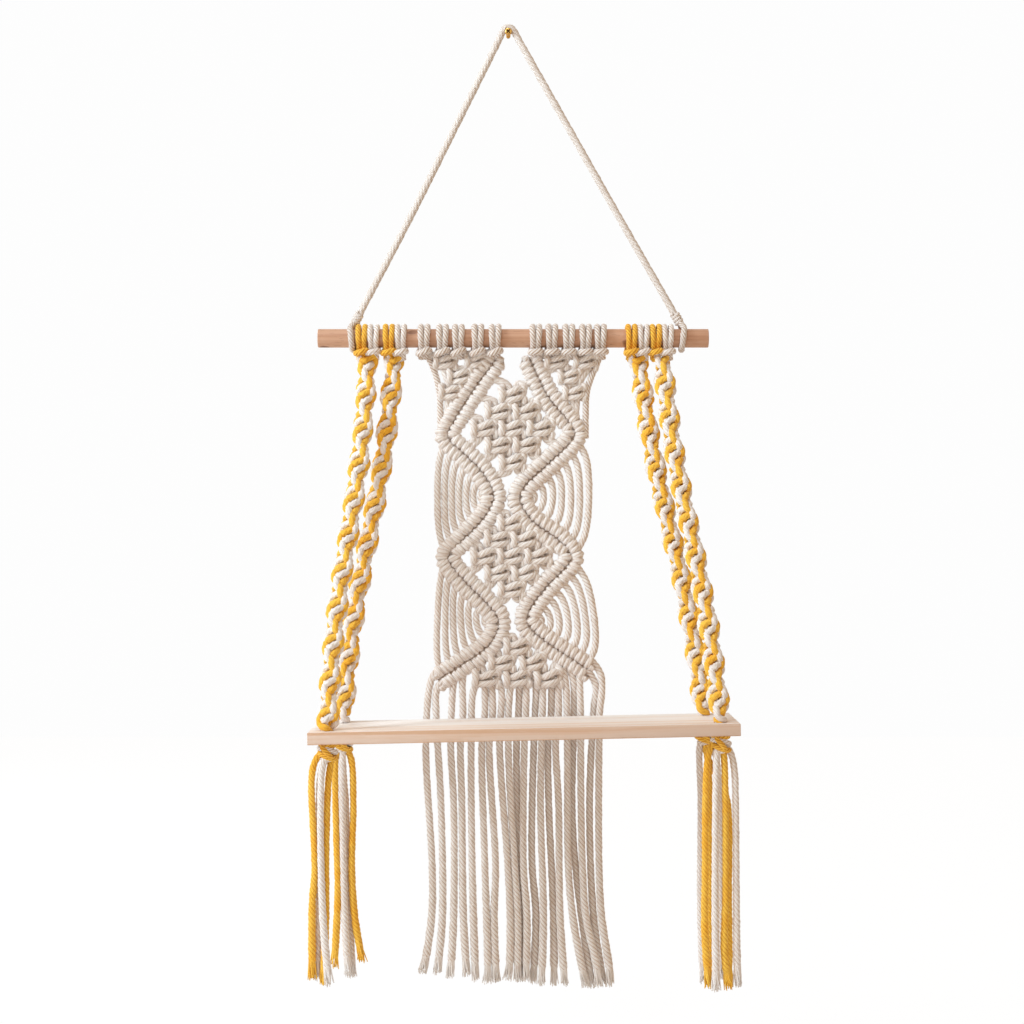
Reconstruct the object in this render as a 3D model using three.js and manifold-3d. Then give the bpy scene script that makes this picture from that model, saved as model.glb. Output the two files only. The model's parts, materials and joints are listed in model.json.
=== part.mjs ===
// Hanging rope shelf: a knotted rope panel and a wooden board, both carried by one dowel that hangs on a
// wall screw. Millimetres. +X is to the right, +Y goes into the wall and +Z is up. The origin is where the
// screw enters the wall.
import * as THREE from "three";
import { mergeVertices } from "three/addons/utils/BufferGeometryUtils.js";
import Module from "manifold-3d";

const wasm = await Module();
wasm.setup();

// Rope, and the gap left between two pieces that touch
const cordDiameter = 6;
const cordSides = 8;
const seatGap = 0.3;
const weldDistance = 0.001;

// Wall screw
const screwHeadDiameter = 7.6;
const screwHeadHeight = 2.6;
const screwHeadRound = 0.8;
const screwShankDiameter = 4;
const screwStandOff = 8;
const screwPlainDepth = 2;
const screwThreadDiameter = 4.6;
const screwRootDiameter = 3.2;
const screwThreadPitch = 3;
const screwThreadCount = 6;
const screwTipLength = 3;
const screwSides = 10;
const crossLength = 4.6;
const crossWidth = 1;
const crossDepth = 1.4;

// Dowel
const dowelLength = 400;
const dowelDiameter = 19;
const dowelDrop = 316;
const dowelShift = 5;
const dowelChamfer = 0.8;
const dowelSides = 24;
const wallGap = 0.5;

// Hanger rope: where its two loops sit on the dowel, and the knot that closes each loop
const hangerLoopShares = [-0.414, 0.434];
const hangerKnotInset = 6.6;
const hangerKnotRise = 22;
const hangerKnotWidth = 10;
const hangerKnotHeight = 11;
const loopSides = 12;
const loopSectionSides = 5;

// Lark's heads, the folded rope ends that grip the dowel
const headWidth = 11.8;
const headPitch = 12.2;
const headSides = 10;
const headGrooveShare = 0.3;

// Shelf board
const boardLength = 420;
const boardDepth = 125;
const boardThickness = 12;
const boardEdge = 0.8;
const boardTiltDegrees = 1.23;
const boardShift = 15.3;
const boardBackGap = 26;
const shelfDrop = 387.4;
const holeDiameter = 13;
const holeArcSteps = 6;
const frontHoleInset = 18;
const backHoleInset = 27;
const holeEdgeInset = 20;

// Sennits, the four twisted ropes from the dowel to the board's holes
const sennitWidth = 22;
const sennitThickness = 13;
const sennitHalfTurn = 36;
const sennitSides = 6;
const ringsPerHalfTurn = 2.5;
const sennitSway = 3.4;
const sennitTaper = 9;
const neckDiameter = 12;

// Stop knots under the board
const stopKnotDiameter = 22;
const stopKnotSides = 16;
const stopKnotRings = 8;
const knotSeatSides = 24;
const knotSeatRings = 12;

// Knotted panel
const panelWidth = 164;
const panelLength = 355;
const ridgeDiameter = 12;
const ridgeGap = 1.1;
const ridgeSides = 8;
const fanCordCount = 6;
const fanSides = 5;
const fanSteps = 4;
const barWidth = 5.4;
const knotWidth = 17;
const knotHeight = 19;
const knotThickness = 11;
const knotSides = 6;
const knotRings = 3;
const regionSamples = 40;

// Places worked out from the sizes above
const cordRadius = cordDiameter / 2;
const dowelRadius = dowelDiameter / 2;
const dowelAxisY = -(dowelRadius + cordDiameter + wallGap);
const dowelCentre = new THREE.Vector3(dowelShift, dowelAxisY, -dowelDrop);
const wrapRadius = dowelRadius + seatGap + cordRadius;
const boreRadius = dowelRadius + seatGap;
const boardTilt = THREE.MathUtils.degToRad(boardTiltDegrees);
const boardTop = new THREE.Vector3(boardShift, -(boardBackGap + boardDepth / 2), -dowelDrop - shelfDrop);
const boardCentre = new THREE.Vector3(0, 0, -boardThickness / 2)
  .applyAxisAngle(new THREE.Vector3(0, 1, 0), -boardTilt)
  .add(boardTop);
const holeLipRadius = holeDiameter / 2 + boardEdge;
const stopKnotRadius = stopKnotDiameter / 2;
const stopKnotDrop = boardThickness / 2 + Math.sqrt(stopKnotRadius ** 2 - holeLipRadius ** 2) + seatGap;

// Sennits from left to right: share of the dowel's length, end of the board, and its front or back holes
const sennits = [
  { place: "front_left", startShare: -0.3725, side: -1, front: true },
  { place: "back_left", startShare: -0.303, side: -1, front: false },
  { place: "back_right", startShare: 0.318, side: 1, front: false },
  { place: "front_right", startShare: 0.38, side: 1, front: true },
];

// The line between the outer and the inner ridge of each side, as shares of the panel's width and length
const ridgeLineShares = {
  left: [
    [-0.099, 0.055], [-0.233, 0.139], [-0.368, 0.237], [-0.411, 0.283], [-0.3, 0.336], [-0.192, 0.388],
    [-0.121, 0.457], [-0.192, 0.523], [-0.308, 0.578], [-0.408, 0.63], [-0.296, 0.705], [-0.177, 0.76],
    [-0.092, 0.815], [-0.146, 0.882], [-0.336, 0.946], [-0.471, 0.986],
  ],
  right: [
    [0.098, 0.055], [0.221, 0.171], [0.325, 0.228], [0.386, 0.275], [0.214, 0.364], [0.079, 0.422],
    [0.039, 0.462], [0.103, 0.519], [0.302, 0.589], [0.366, 0.632], [0.202, 0.72], [0.092, 0.792],
    [0.092, 0.827], [0.254, 0.892], [0.358, 0.922], [0.479, 0.96],
  ],
};

// Where along that line each fan has its top, its inward turn and its bottom, and how far out it reaches
const bayShares = [[0.2, 0.4, 0.6], [0.6, 0.8, 1]];
const fanOuterShares = { left: [-0.473, -0.473], right: [0.474, 0.503] };

// Lark's heads of each group from the outside in, then the square knots under them and where their cords
// meet the ridge, as shares of the panel's width and length
const topGroups = {
  left: {
    headShares: [-0.556, -0.441, -0.342, -0.221, -0.113],
    knotShares: [[-0.421, 0.0665], [-0.227, 0.064], [-0.333, 0.11], [-0.389, 0.156]],
    ridgeShares: [[-0.198, 0.086], [-0.333, 0.178], [-0.425, 0.253]],
    edgeShares: [[-0.558, 0.036], [-0.508, 0.075], [-0.463, 0.15], [-0.455, 0.289]],
  },
  right: {
    headShares: [0.544, 0.452, 0.347, 0.241, 0.141],
    knotShares: [[0.454, 0.0665], [0.273, 0.0665], [0.354, 0.11], [0.384, 0.158]],
    ridgeShares: [[0.193, 0.103], [0.306, 0.19], [0.39, 0.243]],
    edgeShares: [[0.556, 0.036], [0.522, 0.075], [0.463, 0.15], [0.452, 0.289]],
  },
};
const headRowShare = 0.036;
const headToHead = [[3, 4]];
const headToKnot = [[0, 0], [1, 0], [2, 0], [2, 1], [3, 1], [4, 1]];
const knotToKnot = [[0, 2], [1, 2], [0, 3], [2, 3]];
const knotToRidge = [[1, 0], [2, 1], [3, 2]];

// Nets of square knots between the ridges: the top knot as shares of the panel, the spacing of the knots,
// and whether the net is a whole diamond or its upper half
const netSize = 3;
const nets = {
  net_upper: { topShares: [-0.002, 0.162], pitch: 28.9, rowPitch: 17.3, whole: true },
  net_middle: { topShares: [-0.008, 0.532], pitch: 27.7, rowPitch: 17, whole: true },
  net_lower: { topShares: [0.029, 0.889], pitch: 31.8, rowPitch: 16.2, whole: false },
};
const netEdgeShare = 0.45;

// Hanger route, from the left knot over the screw's shank to the right knot
const hangerRoute = [
  [-154, -16, -294], [-103.5, -12, -197], [-53.9, -8, -97], [-13.2, -4.7, -14.8], [-4.7, -4, 2.4],
  [-2.8, -4, 4.5], [0, -4, 5.3], [2.8, -4, 4.5], [4.6, -4, 2.7], [14.5, -4.7, -14.8], [60.6, -8, -97],
  [116.2, -12, -196], [172, -16, -294],
];

// Fringe routes, from the panel's lower end downwards, measured from the point on the dowel's centre line
// that lies one panel length lower
const fringeRoutes = [
  [[-71, 0, 18], [-79, 0, 13], [-84.5, -0.2, 3], [-89.5, -1, -59.5], [-83, -1, -185.5],
    [-83.5, -1, -237], [-92, -1, -291], [-94.5, -1, -296.5]],
  [[-66.5, 0, 4.5], [-74, -0.2, 2], [-78.5, -0.5, -6.5], [-79, -1, -29], [-74, -1, -121],
    [-72.5, -1, -237], [-78, -1, -297.5]],
  [[-58.5, 0, 11], [-61, -0.2, 1.5], [-64, -1, -59.5], [-61, -1, -121], [-61, -1, -237],
    [-64.5, -1, -301.5]],
  [[-50.5, 0, 15], [-52, -0.2, 3], [-51.5, -1, -29], [-54, -1, -59.5], [-52.5, -1, -121],
    [-51, -1, -237], [-47.5, -1, -299.5]],
  [[-33, 0, 8], [-38.5, -0.3, -0.5], [-41.5, -0.6, -10.5], [-43, -1, -59.5], [-42, -1, -185.5],
    [-38.5, -1, -304.5]],
  [[-29, -0.2, 1.5], [-29, -1, -29], [-32, -1, -59.5], [-29, -1, -185.5], [-26, -1, -291],
    [-27, -1, -306.5]],
  [[-22, -0.2, 1.5], [-21, -1, -29], [-24.5, -1, -59.5], [-18, -1, -185.5], [-19.5, -1, -237],
    [-17.5, -1, -306.5]],
  [[-16.5, 0, 8], [-12, -0.5, -5.5], [-14, -1, -59.5], [-5.5, -1, -185.5], [-3, -1, -237],
    [-4, -1, -291], [-6.5, -1, -303.5]],
  [[-0.5, -0.1, 1], [-3, -0.5, -5.5], [-5, -1, -59.5], [1.5, -1, -185.5], [4.5, -1, -237],
    [4.5, -1, -305.5]],
  [[6.5, 1.5, 2], [5.5, 5.4, -29.5], [3.5, 5.4, -60.5], [4, 5.4, -122], [8, 5.4, -238], [8, 5.4, -306]],
  [[13.5, -0.2, 4], [13, -1, -29], [11.5, -1, -59.5], [10.5, -1, -185.5], [14, -1, -237],
    [13, -1, -304.5]],
  [[20.7, 0.2, 16], [23.5, 2.5, -5.5], [22.5, 5.4, -29.5], [19.5, 5.4, -122], [19.5, 5.4, -186.5],
    [23.5, 5.4, -238], [20.5, 5.4, -308]],
  [[30.5, 0, 1], [30, -1, -29], [28, -1, -121], [31, -1, -237], [29, -1, -308.5]],
  [[39.5, 0.2, 8], [39, 5.4, -29.5], [36, 5.4, -60.5], [36.5, 5.4, -122], [41.5, 5.4, -238],
    [42, 5.4, -310]],
  [[46, 0, 7], [46.5, -1, -29], [43.5, -1, -59.5], [46.5, -1, -121], [48, -1, -237], [53, -1, -309.5]],
  [[51, 0, 18], [54, -0.3, 0.5], [55.5, -1, -59.5], [56.5, -1, -185.5], [61, -1, -237],
    [74.5, -1, -310.5]],
  [[58, 0, 17], [62, 1.1, 2.5], [62.5, 5.4, -29.5], [60.5, 5.4, -122], [64, 5.4, -186.5],
    [81, 5.4, -312.5]],
  [[68, 0, 13], [69, -1, -29], [69.5, -1, -121], [71, -1, -185.5], [74.5, -1, -237], [86, -1, -291],
    [87, -1, -310.5]],
  [[75.5, 0, 16], [84.5, 1.5, 0], [82.5, 5.4, -29.5], [78.5, 5.4, -122], [82.5, 5.4, -238],
    [93, 5.4, -311.5]],
  [[81, 0, 24.5], [89.5, 0, 11], [91, -0.4, -4.5], [88.5, -1, -29], [88, -1, -59.5], [88, -1, -185.5],
    [90.5, -1, -237], [98.5, -1, -291], [99.5, -1, -309.5]],
];

// Tassel routes, four cords to each stop knot, measured from the knot's centre
const tasselRoutes = {
  front_left: [
    [[-6, 0, -0.5], [-12, 0, -9], [-15.5, 0, -24.5], [-12.5, 0, -115.5], [-15, 0, -148.5],
      [-15, 0, -224]],
    [[-0.5, -5, -4.5], [-4.5, -5, -13.5], [-6.5, -5, -57.5], [-4, -5, -164.5], [2, -5, -228.5]],
    [[4.5, 1.5, -0.5], [3, 1.5, -12], [1, 1.5, -25], [-1.5, 1.5, -91.5], [-2, 1.5, -165.5],
      [-4.5, 1.5, -229]],
    [[-1.5, 6.5, -6], [-5.5, 6.5, -15.5], [-8.5, 6.5, -34.5], [-8.5, 6.5, -133], [-10.5, 6.5, -225]],
  ],
  back_left: [
    [[-6, -2.5, -7], [-7.5, -3, -19], [-6.5, -3, -98], [-5, -3, -145.5], [-8.5, -3, -228]],
    [[-0.3, -4, -8], [-0.3, -4, -25], [0, -4, -93.5], [3, -4, -196.5], [6, -4, -237]],
    [[2.5, -1, -5], [8, -1, -15], [10.5, -1, -60.5], [9, -1, -128.5], [12.5, -1, -180],
      [20, -1, -222.5]],
    [[-1, 4, -9], [0, 4.5, -29], [2.5, 4.5, -61.5], [5.5, 4.5, -164], [9.5, 4.5, -239]],
  ],
  back_right: [
    [[-4.5, -1.5, -6.5], [-5.5, -2, -16.5], [-4, -2, -64.5], [-4.5, -2, -168.5], [-1.5, -2, -251.5]],
    [[1, -3.5, -9], [3, -4, -26.5], [5, -4, -64], [5, -4, -168], [4.5, -4, -247]],
    [[5.5, -1, -7], [8, -1, -12], [11.5, -1, -22], [14.5, -1, -55.5], [16, -1, -168.5], [17, -1, -248.5]],
    [[0, 5, -9], [5.5, 6, -27.5], [15.5, 6, -46], [23.5, 6, -66.5], [25, 6, -170],
      [25.5, 6, -253]],
  ],
  front_right: [
    [[-6.5, -1, 0.5], [-11.5, -1, -7.5], [-15.5, -1, -138], [-15.5, -1, -188], [-11.5, -1, -240]],
    [[-3.5, -4, -5], [-4.5, -4, -15], [-6, -4, -137.5], [-5, -4, -242]],
    [[1.5, -2, -5.5], [3, -2, -14], [4.5, -2, -146], [3.5, -2, -205.5], [8.5, -2, -241.5]],
    [[4.5, 1, -1], [10.5, 1, -11.5], [13.5, 1, -28], [14.5, 1, -55.5], [15.5, 1, -188.5],
      [16.5, 1, -239]],
  ],
};

// Colours
const finishes = {
  cream: { color: 0xe9ded2, roughness: 0.92, metalness: 0 },
  yellow: { color: 0xe0ac3c, roughness: 0.92, metalness: 0 },
  dowelWood: { color: 0xd9ab8a, roughness: 0.6, metalness: 0 },
  boardWood: { color: 0xe6d3bd, roughness: 0.6, metalness: 0 },
  brass: { color: 0xc79b4b, roughness: 0.3, metalness: 1 },
};
const tasselFinishes = {
  front_left: ["yellow", "cream", "yellow", "cream"],
  back_left: ["yellow", "cream", "yellow", "cream"],
  back_right: ["cream", "yellow", "cream", "yellow"],
  front_right: ["yellow", "cream", "yellow", "cream"],
};

// Geometry helpers

function toSolid(geometry) {
  const bare = geometry.index ? geometry.toNonIndexed() : geometry.clone();
  bare.deleteAttribute("normal");
  bare.deleteAttribute("uv");
  const merged = mergeVertices(bare, weldDistance);
  const corners = merged.index.array;
  const kept = [];
  for (let i = 0; i < corners.length; i += 3) {
    const [a, b, c] = corners.subarray(i, i + 3);
    if (a !== b && b !== c && c !== a) kept.push(a, b, c);
  }
  return new wasm.Manifold(
    new wasm.Mesh({
      numProp: 3,
      vertProperties: merged.attributes.position.array,
      triVerts: new Uint32Array(kept),
    }),
  );
}

function toGeometry(solid) {
  const { vertProperties, triVerts } = solid.getMesh();
  const geometry = new THREE.BufferGeometry();
  geometry.setAttribute("position", new THREE.BufferAttribute(vertProperties, 3));
  geometry.setIndex(new THREE.BufferAttribute(triVerts, 1));
  geometry.computeVertexNormals();
  return geometry;
}

function join(solids) {
  return solids.reduce((whole, next) => whole.add(next));
}

function toVectors(points) {
  return points.map(([x, y, z]) => new THREE.Vector3(x, y, z));
}

// A smooth route whose evenly spaced places are its own points
class Route extends THREE.CatmullRomCurve3 {
  constructor(points) {
    super(points, false, "centripetal");
  }

  getUtoTmapping(share) {
    return share;
  }
}

function roundSection(diameter, sides) {
  const corners = [];
  for (let i = 0; i < sides; i += 1) {
    const angle = (2 * Math.PI * i) / sides;
    corners.push(new THREE.Vector2(Math.cos(angle), Math.sin(angle)).multiplyScalar(diameter / 2));
  }
  return new THREE.Shape(corners);
}

function tube(points, diameter, sides, steps = points.length - 1) {
  const options = { steps, extrudePath: new Route(points), bevelEnabled: false };
  return toSolid(new THREE.ExtrudeGeometry(roundSection(diameter, sides), options));
}

// A ring that turns about the X axis: profile points are [radius, x] and close on themselves
function ringAboutX(profile, sides) {
  const points = [...profile, profile[0]].map(([radius, x]) => new THREE.Vector2(radius, x));
  return new THREE.LatheGeometry(points, sides).rotateZ(-Math.PI / 2);
}

// A ball whose flat facets turn evenly about the Y axis, as a tassel does when it swings
function ball(diameter, sides, rings) {
  return new THREE.SphereGeometry(diameter / 2, sides, rings);
}

function ellipsoid(width, depth, height, sides, rings) {
  return new THREE.SphereGeometry(1 / 2, sides, rings).rotateX(Math.PI / 2).scale(width, depth, height);
}

// A closed skin over rings of points that run the same way round
function skin(rings) {
  const sides = rings[0].length;
  const last = sides * (rings.length - 1);
  const corners = [];
  for (let start = 0; start < last; start += sides) {
    for (let i = 0; i < sides; i += 1) {
      const a = start + i;
      const b = start + ((i + 1) % sides);
      corners.push(a, b, b + sides, a, b + sides, a + sides);
    }
  }
  for (let i = 1; i + 1 < sides; i += 1) corners.push(0, i + 1, i, last, last + i, last + i + 1);
  return new THREE.BufferGeometry().setFromPoints(rings.flat()).setIndex(corners);
}

function makeMesh(name, geometry, finish) {
  const mesh = new THREE.Mesh(geometry, new THREE.MeshStandardMaterial(finishes[finish]));
  mesh.name = name;
  return mesh;
}

// Wall screw

function screwProfile() {
  const headRadius = screwHeadDiameter / 2;
  const shankRadius = screwShankDiameter / 2;
  const headFront = -(screwStandOff + screwHeadHeight);
  const points = [
    [0, headFront],
    [headRadius - screwHeadRound, headFront],
    [headRadius, headFront + screwHeadRound],
    [headRadius, -screwStandOff],
    [shankRadius, -screwStandOff],
    [shankRadius, screwPlainDepth],
  ];
  for (let turn = 0; turn < screwThreadCount; turn += 1) {
    const start = screwPlainDepth + turn * screwThreadPitch;
    points.push([screwRootDiameter / 2, start + screwThreadPitch / 4]);
    points.push([screwThreadDiameter / 2, start + screwThreadPitch / 2]);
  }
  const threadEnd = screwPlainDepth + screwThreadCount * screwThreadPitch;
  points.push([screwRootDiameter / 2, threadEnd]);
  points.push([0, threadEnd + screwTipLength]);
  return points.map(([radius, depth]) => new THREE.Vector2(radius, depth));
}

function makeScrew() {
  const bodySolid = toSolid(new THREE.LatheGeometry(screwProfile(), screwSides));
  const slot = new THREE.BoxGeometry(crossLength, 2 * crossDepth, crossWidth).rotateY(Math.PI / 4);
  slot.translate(0, -(screwStandOff + screwHeadHeight), 0);
  const crossSlot = slot.clone().rotateY(Math.PI / 2);
  const cut = bodySolid.subtract(toSolid(slot)).subtract(toSolid(crossSlot));
  return makeMesh("wall_screw", toGeometry(cut), "brass");
}

// Dowel, and the hanger rope with its two loops

function dowelX(share) {
  return dowelShift + share * dowelLength;
}

function makeDowel() {
  const half = dowelLength / 2;
  const profile = [
    [0, -half],
    [dowelRadius - dowelChamfer, -half],
    [dowelRadius, dowelChamfer - half],
    [dowelRadius, half - dowelChamfer],
    [dowelRadius - dowelChamfer, half],
    [0, half],
  ].map(([radius, x]) => new THREE.Vector2(radius, x));
  const geometry = new THREE.LatheGeometry(profile, dowelSides).rotateZ(-Math.PI / 2);
  const mesh = makeMesh("dowel", toGeometry(toSolid(geometry)), "dowelWood");
  mesh.position.copy(dowelCentre);
  return mesh;
}

function hangerKnotPlace(share) {
  return new THREE.Vector3(
    dowelX(share) - Math.sign(share) * hangerKnotInset,
    dowelAxisY,
    hangerKnotRise - dowelDrop,
  );
}

function hangerKnotBlob(share, growth) {
  const width = hangerKnotWidth + 2 * growth;
  const height = hangerKnotHeight + 2 * growth;
  const blob = ellipsoid(width, width, height, cordSides, knotRings);
  return toSolid(blob.translate(...hangerKnotPlace(share).toArray()));
}

function makeHangerKnot(name, share) {
  const section = [];
  for (let i = 0; i < loopSectionSides; i += 1) {
    const angle = (2 * Math.PI * i) / loopSectionSides;
    section.push([wrapRadius + cordRadius * Math.cos(angle), cordRadius * Math.sin(angle)]);
  }
  const loop = ringAboutX(section, loopSides).translate(dowelX(share), dowelAxisY, -dowelDrop);
  const loopTop = new THREE.Vector3(dowelX(share), dowelAxisY, wrapRadius - dowelDrop);
  const link = tube([loopTop, hangerKnotPlace(share)], cordDiameter, cordSides);
  return makeMesh(name, toGeometry(join([toSolid(loop), link, hangerKnotBlob(share, 0)])), "cream");
}

function makeHangerCord() {
  const rope = tube(toVectors(hangerRoute), cordDiameter, cordSides);
  const cut = hangerLoopShares.reduce((rest, share) => rest.subtract(hangerKnotBlob(share, seatGap)), rope);
  return makeMesh("hanger_cord", toGeometry(cut), "cream");
}

// Lark's head: two strands side by side round the dowel, drawn together where the fold holds them

function larksHead(x) {
  const inner = boreRadius / Math.cos(Math.PI / headSides);
  const outer = wrapRadius + cordRadius;
  const groove = outer - headGrooveShare * cordDiameter;
  const profile = [
    [inner, -headWidth / 2],
    [outer, -headWidth / 3],
    [groove, 0],
    [outer, headWidth / 3],
    [inner, headWidth / 2],
  ];
  return toSolid(ringAboutX(profile, headSides).translate(x, dowelAxisY, -dowelDrop));
}

// Shelf board and its stop knots, in the board's own tilted frame

const shelf = new THREE.Group();
shelf.position.copy(boardCentre);
shelf.rotation.y = -boardTilt;
shelf.updateMatrix();

function holePlace({ side, front }, height) {
  const inset = front ? frontHoleInset : backHoleInset;
  const x = side * (boardLength / 2 - inset);
  const y = (front ? -1 : 1) * (boardDepth / 2 - holeEdgeInset);
  return new THREE.Vector3(x, y, height);
}

function makeBoard() {
  const [halfX, halfY] = [boardLength / 2, boardDepth / 2];
  const outline = new THREE.Shape([
    new THREE.Vector2(-halfX, -halfY),
    new THREE.Vector2(halfX, -halfY),
    new THREE.Vector2(halfX, halfY),
    new THREE.Vector2(-halfX, halfY),
  ]);
  outline.holes = sennits.map((sennit) => {
    const { x, y } = holePlace(sennit, 0);
    return new THREE.Path().absarc(x, y, holeDiameter / 2, 0, 2 * Math.PI);
  });
  const geometry = new THREE.ExtrudeGeometry(outline, {
    depth: boardThickness - 2 * boardEdge,
    curveSegments: holeArcSteps,
    bevelThickness: boardEdge,
    bevelSize: boardEdge,
    bevelOffset: -boardEdge,
    bevelSegments: 1,
  }).translate(0, 0, boardEdge - boardThickness / 2);
  return makeMesh("shelf_board", toGeometry(toSolid(geometry)), "boardWood");
}

function makeStopKnot(sennit) {
  const knot = toSolid(ball(stopKnotDiameter, stopKnotSides, stopKnotRings));
  const mesh = makeMesh("stop_knot_" + sennit.place, toGeometry(knot), "cream");
  mesh.position.copy(holePlace(sennit, -stopKnotDrop));
  return mesh;
}

// Sennits

function sennitRing(centre, direction, turn, width, thickness) {
  const across = new THREE.Vector3(1, 0, 0).projectOnPlane(direction).normalize();
  const along = direction.clone().cross(across);
  const ring = [];
  for (let i = 0; i < sennitSides; i += 1) {
    const angle = (2 * Math.PI * i) / sennitSides;
    const share = Math.hypot(Math.cos(angle - turn) / width, Math.sin(angle - turn) / thickness);
    const reach = 1 / (2 * share);
    const point = centre.clone().addScaledVector(across, reach * Math.cos(angle));
    ring.push(point.addScaledVector(along, reach * Math.sin(angle)));
  }
  return ring;
}

function makeSennit(sennit) {
  const start = new THREE.Vector3(dowelX(sennit.startShare), dowelAxisY, -dowelDrop - wrapRadius);
  const mouth = holePlace(sennit, boardThickness / 2 + seatGap).applyMatrix4(shelf.matrix);
  const stopKnotTop = stopKnotRadius - stopKnotDrop;
  const neckEnd = holePlace(sennit, stopKnotTop + seatGap).applyMatrix4(shelf.matrix);
  const span = start.distanceTo(mouth);
  const twisted = span - sennitTaper;
  const ringCount = Math.round((ringsPerHalfTurn * twisted) / sennitHalfTurn);
  const rings = [];
  const downwards = mouth.clone().sub(start).normalize();
  for (let i = 0; i <= ringCount; i += 1) {
    const share = ((i / ringCount) * twisted) / span;
    const centre = start.clone().lerp(mouth, share);
    centre.x -= sennit.side * sennitSway * Math.sin(2 * Math.PI * share);
    const turn = (-Math.PI * share * span) / sennitHalfTurn;
    rings.push(sennitRing(centre, downwards, turn, sennitWidth, sennitThickness));
  }
  const neckDirection = neckEnd.clone().sub(mouth).normalize();
  rings.push(sennitRing(mouth, neckDirection, 0, neckDiameter, neckDiameter));
  rings.push(sennitRing(neckEnd, neckDirection, 0, neckDiameter, neckDiameter));
  const heads = [-1, 1].map((half) => larksHead(start.x + (half * headPitch) / 2));
  return makeMesh("sennit_" + sennit.place, toGeometry(join([toSolid(skin(rings)), ...heads])), "cream");
}

// Knotted panel, whose places are shares of its width and length

function panelPoint([xShare, lengthShare]) {
  return new THREE.Vector3(
    dowelShift + xShare * panelWidth,
    dowelAxisY,
    -dowelDrop - lengthShare * panelLength,
  );
}

// The centre line of one ridge: the ridge line moved sideways by half a ridge
function ridgeRoute(side, outwards) {
  const line = new Route(ridgeLineShares[side].map(panelPoint));
  const lastPoint = line.points.length - 1;
  const outer = side === "left" ? -1 : 1;
  const offset = (ridgeDiameter + ridgeGap) / 2;
  return line.points.map((point, i) => {
    const tangent = line.getTangent(i / lastPoint);
    const sideways = new THREE.Vector3(-tangent.z, 0, tangent.x);
    return point.clone().addScaledVector(sideways, offset * (outwards ? outer : -outer));
  });
}

function lengthen(points, extra) {
  const route = new Route(points);
  const longer = points.map((point) => point.clone());
  longer[0].addScaledVector(route.getTangent(0), -extra);
  longer.at(-1).addScaledVector(route.getTangent(1), extra);
  return longer;
}

function ridgeTube(side, outwards, growth) {
  const points = lengthen(ridgeRoute(side, outwards), growth);
  return tube(points, ridgeDiameter + 2 * growth, ridgeSides);
}

// The cords that leave the outer ridge above a bay and bow out to join it again below
function fanCords(side, growth) {
  const route = new Route(ridgeRoute(side, true));
  return bayShares.flatMap(([top, inner, bottom], bay) => {
    const outerX = panelPoint([fanOuterShares[side][bay], 0]).x;
    const innerX = route.getPoint(inner).x;
    const cords = [];
    for (let i = 0; i < fanCordCount; i += 1) {
      const share = (i + 1 / 2) / (fanCordCount + 1);
      const start = route.getPoint(THREE.MathUtils.lerp(top, inner, share));
      const end = route.getPoint(THREE.MathUtils.lerp(bottom, inner, share));
      const middle = start.clone().lerp(end, 1 / 2);
      middle.x = THREE.MathUtils.lerp(outerX, innerX, i / (fanCordCount + 1));
      cords.push(tube([start, middle, end], cordDiameter + 2 * growth, fanSides, fanSteps));
    }
    return cords;
  });
}

function outerRidge(side, growth) {
  return join([ridgeTube(side, true, growth), ...fanCords(side, growth)]);
}

function bar(from, to, growth) {
  const sizes = [barWidth, cordDiameter, from.distanceTo(to)].map((size) => size + 2 * growth);
  const geometry = new THREE.BoxGeometry(...sizes);
  geometry.rotateY(Math.atan2(to.x - from.x, to.z - from.z));
  const middle = from.clone().lerp(to, 1 / 2);
  return toSolid(geometry.translate(middle.x, middle.y, middle.z));
}

function squareKnot(place, growth) {
  const sizes = [knotWidth, knotThickness, knotHeight].map((size) => size + 2 * growth);
  return toSolid(ellipsoid(...sizes, knotSides, knotRings).translate(place.x, place.y, place.z));
}

// Everything between the two inner ridges, as a slab that reaches one knot past their lower ends
function innerRegion() {
  const edges = ["left", "right"].map((side) => {
    const points = new Route(ridgeRoute(side, false)).getPoints(regionSamples);
    const low = points.at(-1).clone();
    low.z -= 2 * knotHeight;
    return [...points, low].map(({ x, z }) => new THREE.Vector2(x, z));
  });
  const outline = new THREE.Shape([...edges[0], ...edges[1].reverse()]);
  const depth = 2 * knotThickness;
  const slab = new THREE.ExtrudeGeometry(outline, { depth, bevelEnabled: false });
  return toSolid(slab.rotateX(Math.PI / 2).translate(0, dowelAxisY + depth / 2, 0));
}

function netSolid({ topShares, pitch, rowPitch, whole }, growth) {
  const top = panelPoint(topShares);
  const at = (a, b) =>
    new THREE.Vector3(top.x + ((a - b) * pitch) / 2, top.y, top.z - (a + b) * rowPitch);
  const pieces = [];
  for (let line = 0; line < netSize; line += 1) {
    const last = whole ? netSize - 1 : netSize - 1 - line;
    const end = last + (whole ? 1 : netEdgeShare);
    pieces.push(bar(at(line, -1), at(line, end), growth), bar(at(-1, line), at(end, line), growth));
    for (let i = 0; i <= last; i += 1) pieces.push(squareKnot(at(line, i), growth));
  }
  return join(pieces);
}

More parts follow.
